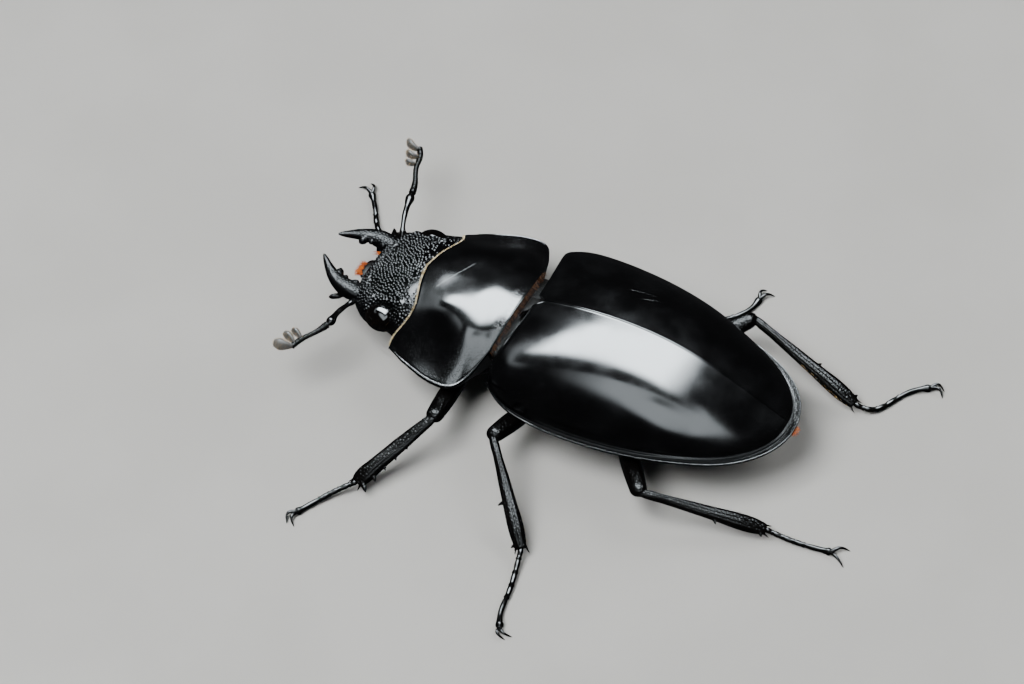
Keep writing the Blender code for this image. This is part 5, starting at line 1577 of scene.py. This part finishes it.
# %% Directions and pits of a leg
FIRST_LIMB_SEED = 30


def unit(vector):
    """The same direction with length 1."""
    vector = np.array(vector, float)
    return vector / np.linalg.norm(vector)


def level_side(run):
    """The level direction to the right of a run."""
    return unit(np.cross(run, (0, 0, 1)))


def pitted_limb(item, name):
    """The coarse shallow pits of a leg."""
    paint_mask(item, "pitted", np.ones(len(item.data.vertices)))
    seed = list(LEGS).index(name) + FIRST_LIMB_SEED
    return grow(
        item, PITTING, Spacing=0.26, Pit_radius=0.1, Pit_depth=0.034, Rim_height=0.008,
        Seed=seed, Shell=leg_shell,
    )


# %% Hips and thighs


def hip(name):
    """The hip and the ring joint after it."""
    joint = np.array(LEGS[name][0])
    inner = joint + np.array((-math.copysign(COXA_INWARD, joint[0]), 0.0, COXA_RISE))
    run = unit(joint - inner)
    path = np.linspace(inner - run * COXA_RADIUS, joint + run * COXA_RADIUS * COXA_REACH, 24)
    coxa = heal(surface("coxa", tube(path, COXA_SHAPE, COXA_SHAPE, 30)))
    out = unit(np.array(LEGS[name][1]) - joint)
    path = np.linspace(joint + out * RING_FROM, joint + out * RING_TO, 14)
    ring = heal(surface("ring", tube(path, RING_SHAPE, RING_SHAPE, 24)))
    return joined(f"hip_{name}", [coxa, ring])


def thigh(name):
    """The thigh, a little bowed upward."""
    joint, knee = (np.array(p) for p in LEGS[name][:2])
    run = unit(knee - joint)
    start = joint + run * (COXA_RADIUS * FEMUR_START + FEMUR_GAP)
    end = knee + run * FEMUR_PAST_KNEE
    middle = (start + end) / 2 + np.array((0, 0, FEMUR_BOW))
    path = path_through([start, middle, end], 150)
    rings = tube(path, FEMUR_HALF_WIDTH, FEMUR_HALF_HEIGHT, 80, FEMUR_ROUNDNESS)
    return pitted_limb(heal(surface(f"thigh_{name}", rings)), name)


# %% Shins with teeth and spurs


def shin_tooth(name, place, reach, radius):
    """A tooth on the outer edge, at this share of the shin's length."""
    knee, end = (np.array(p) for p in LEGS[name][1:3])
    run = unit(end - knee)
    level = level_side(run) * OUTER_EDGE[name]
    start = knee + run * TOOTH_START
    spot = start + (end - start) * place
    edge = spline(TIBIA_HALF_WIDTH[name.split("_")[0]], place)[0]
    root = spot + level * (edge - TOOTH_DEPTH)
    tip = spot + level * edge + (level + run * TOOTH_LEAN) * reach
    return spike(root, tip, radius, bend=-run * TOOTH_BEND)


def shin(name):
    """A flattened, fluted blade with teeth on its outer edge and two spurs at its end."""
    pair = name.split("_")[0]
    knee, end = (np.array(p) for p in LEGS[name][1:3])
    run = unit(end - knee)
    level = level_side(run) * OUTER_EDGE[name]
    start = knee - run * TIBIA_START
    path = path_through([start, (start + end) / 2 + np.array((0, 0, TIBIA_BOW)), end], 70)
    blade = tube(
        path, TIBIA_HALF_WIDTH[pair], TIBIA_HALF_HEIGHT, 48, TIBIA_ROUNDNESS, TIBIA_FLUTES,
        TIBIA_FLUTE_DEPTH,
    )
    parts = [heal(surface("blade", blade))]
    parts += [shin_tooth(name, *tooth) for tooth in TIBIA_TEETH[pair]]
    for turn in (-1, 1):
        root = end - run * SPUR_BACK - level * SPUR_ROOT * turn
        tip = end + run * SPUR_LENGTH * (SPUR_MEAN + SPUR_UNEVEN * turn) - level * SPUR_SPREAD * turn
        parts.append(spike(root, tip - np.array((0, 0, SPUR_DROP)), SPUR_RADIUS))
    return pitted_limb(fused(f"shin_{name}", parts, TIBIA_VOXEL, 2), name)


# %% Feet and claws


def foot_joints(path):
    """Four short joints and a long last one, each reaching a little into the one before."""
    short = (1 - LAST_SEGMENT_SHARE) / FOOT_SEGMENTS
    stretches = [(n * short, (n + 1) * short, FOOT_JOINT) for n in range(FOOT_SEGMENTS)]
    stretches.append((1 - LAST_SEGMENT_SHARE, 1.0, LAST_FOOT_JOINT))
    last = len(path) - 1
    joints = []
    for near, far, shape in stretches:
        cut = path[int(max(0, near - FOOT_OVERLAP) * last) : int(far * last) + 1]
        cut = path_through(cut[:: max(1, len(cut) // 8)], 18)
        joints.append(heal(surface("joint", tube(cut, shape, shape, 20))))
    return joints


def claws(name, path):
    """A pair of hooks that rise, spread and come down to the floor."""
    run = Vector(unit(path[-1] - path[-CLAW_AIM_STEP]))
    angle, spread = CLAWS[name]
    turned = run.copy()
    turned.rotate(Matrix.Rotation(math.radians(angle), 3, "Z"))
    up = Vector((0, 0, 1))
    hooks = []
    for sign in (-1, 1):
        root = Vector(path[-CLAW_ROOT_STEP])
        bend = root + run * CLAW_LENGTH * CLAW_BEND[0] + run.cross(up) * spread * sign * CLAW_BEND[1]
        bend = bend + up * CLAW_HUMP
        tip = bend + turned * CLAW_LENGTH * CLAW_TIP[0] + turned.cross(up) * spread * sign * CLAW_TIP[1]
        tip.z = CLAW_TIP_HEIGHT
        hook = tube(path_through([root, bend, tip], 24), CLAW_RADIUS, CLAW_RADIUS, 16)
        hooks.append(heal(surface("claw", hook)))
    return hooks


def foot(name):
    """The joints and claws of a foot; nothing of it goes below the floor."""
    end = np.array(LEGS[name][2])
    points = [np.array(p) for p in LEGS[name][3]]
    path = path_through([end - unit(points[0] - end) * FOOT_TUCK, *points], FOOT_STEPS)
    item = joined(f"foot_{name}", foot_joints(path) + claws(name, path))
    for vertex in item.data.vertices:
        vertex.co.z = max(vertex.co.z, 0.0)
    return item


# %% All six legs
for name in LEGS:
    settle(hip(name), belly_shell, [f"coxa_{name}"])
    settle(thigh(name), leg_shell, [f"femur_{name}"], crease=180)
    settle(shin(name), leg_shell, [f"tibia_{name}"], crease=180)
    settle(foot(name), smooth_leg_shell, [f"tarsus_{name}"])

# %% [markdown]
# ## Hair of the shins and of the tip
# The inner edge of each shin carries two rows of short golden hair, and a little orange hair shows
# under the tip of the wing cases, from the last ring of the body. Both are planted by the same tree
# as the fringes, on strips that follow the shins and the tip.

# %% Hair of the shins
SHIN_HAIR_SHARES = np.linspace(0.5, 0.97, 16)
SHIN_HAIR_LIFTS = (-0.12, 0.08)
SHIN_HAIR_INSET, SHIN_HAIR_LEAN = 0.93, 0.45
shin_strips = []
for name in LEGS:
    pair = name.split("_")[0]
    knee, end = (np.array(p) for p in LEGS[name][1:3])
    run = unit(end - knee)
    inner = -level_side(run) * OUTER_EDGE[name]
    middle = knee + (end - knee) * SHIN_HAIR_SHARES[:, None]
    half = spline(TIBIA_HALF_WIDTH[pair], SHIN_HAIR_SHARES)[:, None]
    for lift in SHIN_HAIR_LIFTS:
        row = middle + inner * half * SHIN_HAIR_INSET + (0, 0, lift)
        shin_strips.append((row, row + (0, 0, 0.1), run + inner * SHIN_HAIR_LEAN))
plant(
    skin_strips("shin_hair", shin_strips), golden_hair,
    Crowd=40.0, Length=0.3, Radius=0.011, Spread=0.22, Droop=0.1, Seed=25,
)

# %% Hair of the tip
tip_x = np.linspace(-0.5, 0.5, 9)
tip_row = row_of(tip_x, 43.1 - 0.5 * tip_x**2, 5.0)
plant(
    skin_strips("tip_fringe", [(tip_row, tip_row + (0, 0, 0.2), (0.0, 1.0, 0.1))]), amber_bristle,
    Crowd=400.0, Length=0.6, Radius=0.016, Spread=0.25, Droop=0.1, Seed=26,
)

# %% [markdown]
# ## Underside
# From below a beetle is a row of plates: the breastplate of the front thorax, the broad plates
# between the other two pairs of legs, and five overlapping rings of the abdomen. They close the
# space under the wing cases, so each is lofted a little way into its neighbours. A single bag would
# close it too, but a museum's visitors look at a model from low down. The broad breastplate's front
# end is a neck that runs on into the thorax and closes the waist.

# %% Sizes of the underside
# BELLY gives y and the height of the underside; the others give y and a half width or height
BELLY = ((18.5, 1.7), (20.0, 1.25), (26.0, 1.1), (30.0, 1.15), (35.0, 1.6), (39.0, 2.7), (42.2, 4.5))
NECK_FRONT, STERNUM_FRONT, STERNUM_REAR, ABDOMEN_REAR = 16.6, 18.2, 29.3, 42.4
ABDOMEN_RINGS = 5
PROSTERNUM_HALF = ((9.05, 5.2), (11.0, 5.9), (14.0, 6.6), (16.0, 6.3), (17.5, 4.9))
PROSTERNUM_BELLY = ((9.05, 2.0), (11.0, 1.6), (14.0, 1.35), (17.5, 1.7))
PROSTERNUM_TOP, PROSTERNUM_SIDE_LINE = PRONOTUM_FLOOR + 0.2, 3.9
BELLY_COLUMNS = 160
# The powers of the curves above and below the side line
STERNUM_POWERS, ABDOMEN_POWERS, PROSTERNUM_POWERS = (2.1, 1.45), (2.0, 1.7), (3.0, 1.7)
SIDE_LINE_DROP = 0.2
# The breastplate's neck: half width, y where it has widened, y behind which it follows the cases
NECK_HALF, NECK_LENGTH, NECK_END = 4.9, 2.2, 19.6
NECK_DIP, NECK_DIP_FROM, NECK_DIP_REACH = 1.3, 20.0, 1.2
STERNUM_CLEARANCE, ABDOMEN_CLEARANCE = 0.5, 0.2
# The groove along the midline and the suture across, on what lies lower than GROOVES_BELOW
GROOVE_DEPTH, GROOVE_WIDTH, GROOVES_BELOW = 0.12, 0.12, 3.0
SUTURE_DEPTH, SUTURE_Y, SUTURE_SLANT = 0.1, 24.6, 0.12
ABDOMEN_OVERLAP = 0.4
# Each ring of the abdomen: how far it sinks toward its end, its start, and the lip at its end
RING_SINK, RING_START, RING_LIP, RING_LIP_LENGTH, RING_TUCK = 0.16, 0.1, 0.12, 0.1, 0.12

# %% Rings of the underside


def belly_ring(y, half, top, side_height, low, arch, hang):
    """A closed ring: an arch above the side line and a bowl below it."""
    angle = np.linspace(0, math.tau, BELLY_COLUMNS, endpoint=False)
    power = np.where(np.sin(angle) >= 0, 2 / arch, 2 / hang)
    across = np.sign(np.cos(angle)) * np.abs(np.cos(angle)) ** power
    rise = np.abs(np.sin(angle)) ** power
    end = np.where(np.sin(angle) >= 0, top, low)
    z = side_height + (end - side_height) * rise
    return np.column_stack([half * across, np.full_like(z, y), z])


INSIDE_EDGE = case_rows(CASE_THICKNESS + 0.1)[0]


def inside_cases(y):
    """Half width of the space under the wing cases."""
    return float(np.interp(y, INSIDE_EDGE[:, 1], INSIDE_EDGE[:, 0]))


print("space under the wing cases:", round(2 * max(INSIDE_EDGE[:, 0]), 2), "mm wide")


# %% Underside plates


def sternum():
    """The broad breastplate with its neck, a groove along the midline and a suture across."""
    rings = []
    for y in np.linspace(NECK_FRONT, STERNUM_REAR, 68):
        behind_neck = max(y, NECK_END)
        flare = np.clip((y - STERNUM_FRONT) / NECK_LENGTH, 0, 1)
        half = NECK_HALF + (inside_cases(behind_neck) - NECK_HALF) * flare
        dip = NECK_DIP * np.clip((NECK_DIP_FROM - y) / NECK_DIP_REACH, 0, 1)
        top = spline(CASE_CROWN, behind_neck)[0] - CASE_THICKNESS - STERNUM_CLEARANCE - dip
        side_height = spline(CASE_RIM_HEIGHT, y)[0] - SIDE_LINE_DROP
        rings.append(belly_ring(y, half, top, side_height, spline(BELLY, y)[0], *STERNUM_POWERS))
    rings = np.array(rings)
    x, y = rings[..., 0], rings[..., 1]
    under = rings[..., 2] < GROOVES_BELOW
    groove = GROOVE_DEPTH * bump_at(x, 0, GROOVE_WIDTH)
    groove += SUTURE_DEPTH * bump_at(y, SUTURE_Y + SUTURE_SLANT * np.abs(x), GROOVE_WIDTH)
    rings[..., 2] += np.where(under, groove, 0.0)
    return heal(surface("breast_plates", rings))


def abdomen():
    """Five rings, each stepping down over the next."""
    rings = []
    front = STERNUM_REAR - ABDOMEN_OVERLAP
    length = ABDOMEN_REAR - front
    for number in range(ABDOMEN_RINGS):
        for share in np.linspace(0.0, 0.98, 12):
            y = front + length * (number + share) / ABDOMEN_RINGS
            step = RING_SINK * share - RING_START - RING_LIP * bump_at(share, 1.0, RING_LIP_LENGTH)
            half = inside_cases(y) - RING_TUCK * (1 - share) ** 3
            low = spline(BELLY, y)[0] - step
            top = spline(CASE_CROWN, y)[0] - CASE_THICKNESS - ABDOMEN_CLEARANCE
            side_height = spline(CASE_RIM_HEIGHT, y)[0] - SIDE_LINE_DROP
            rings.append(belly_ring(y, half, top, side_height, low, *ABDOMEN_POWERS))
    return heal(surface("abdomen_rings", rings))


def prosternum():
    """The plate under the front thorax."""
    rings = []
    for y in np.linspace(PROSTERNUM_HALF[0][0], PROSTERNUM_HALF[-1][0], 50):
        half, low = spline(PROSTERNUM_HALF, y)[0], spline(PROSTERNUM_BELLY, y)[0]
        rings.append(belly_ring(y, half, PROSTERNUM_TOP, PROSTERNUM_SIDE_LINE, low, *PROSTERNUM_POWERS))
    return heal(surface("front_breast_plate", rings))


settle(sternum(), belly_shell, ["sternum"])
settle(abdomen(), belly_shell, ["abdomen"])
settle(prosternum(), belly_shell, ["prosternum"])
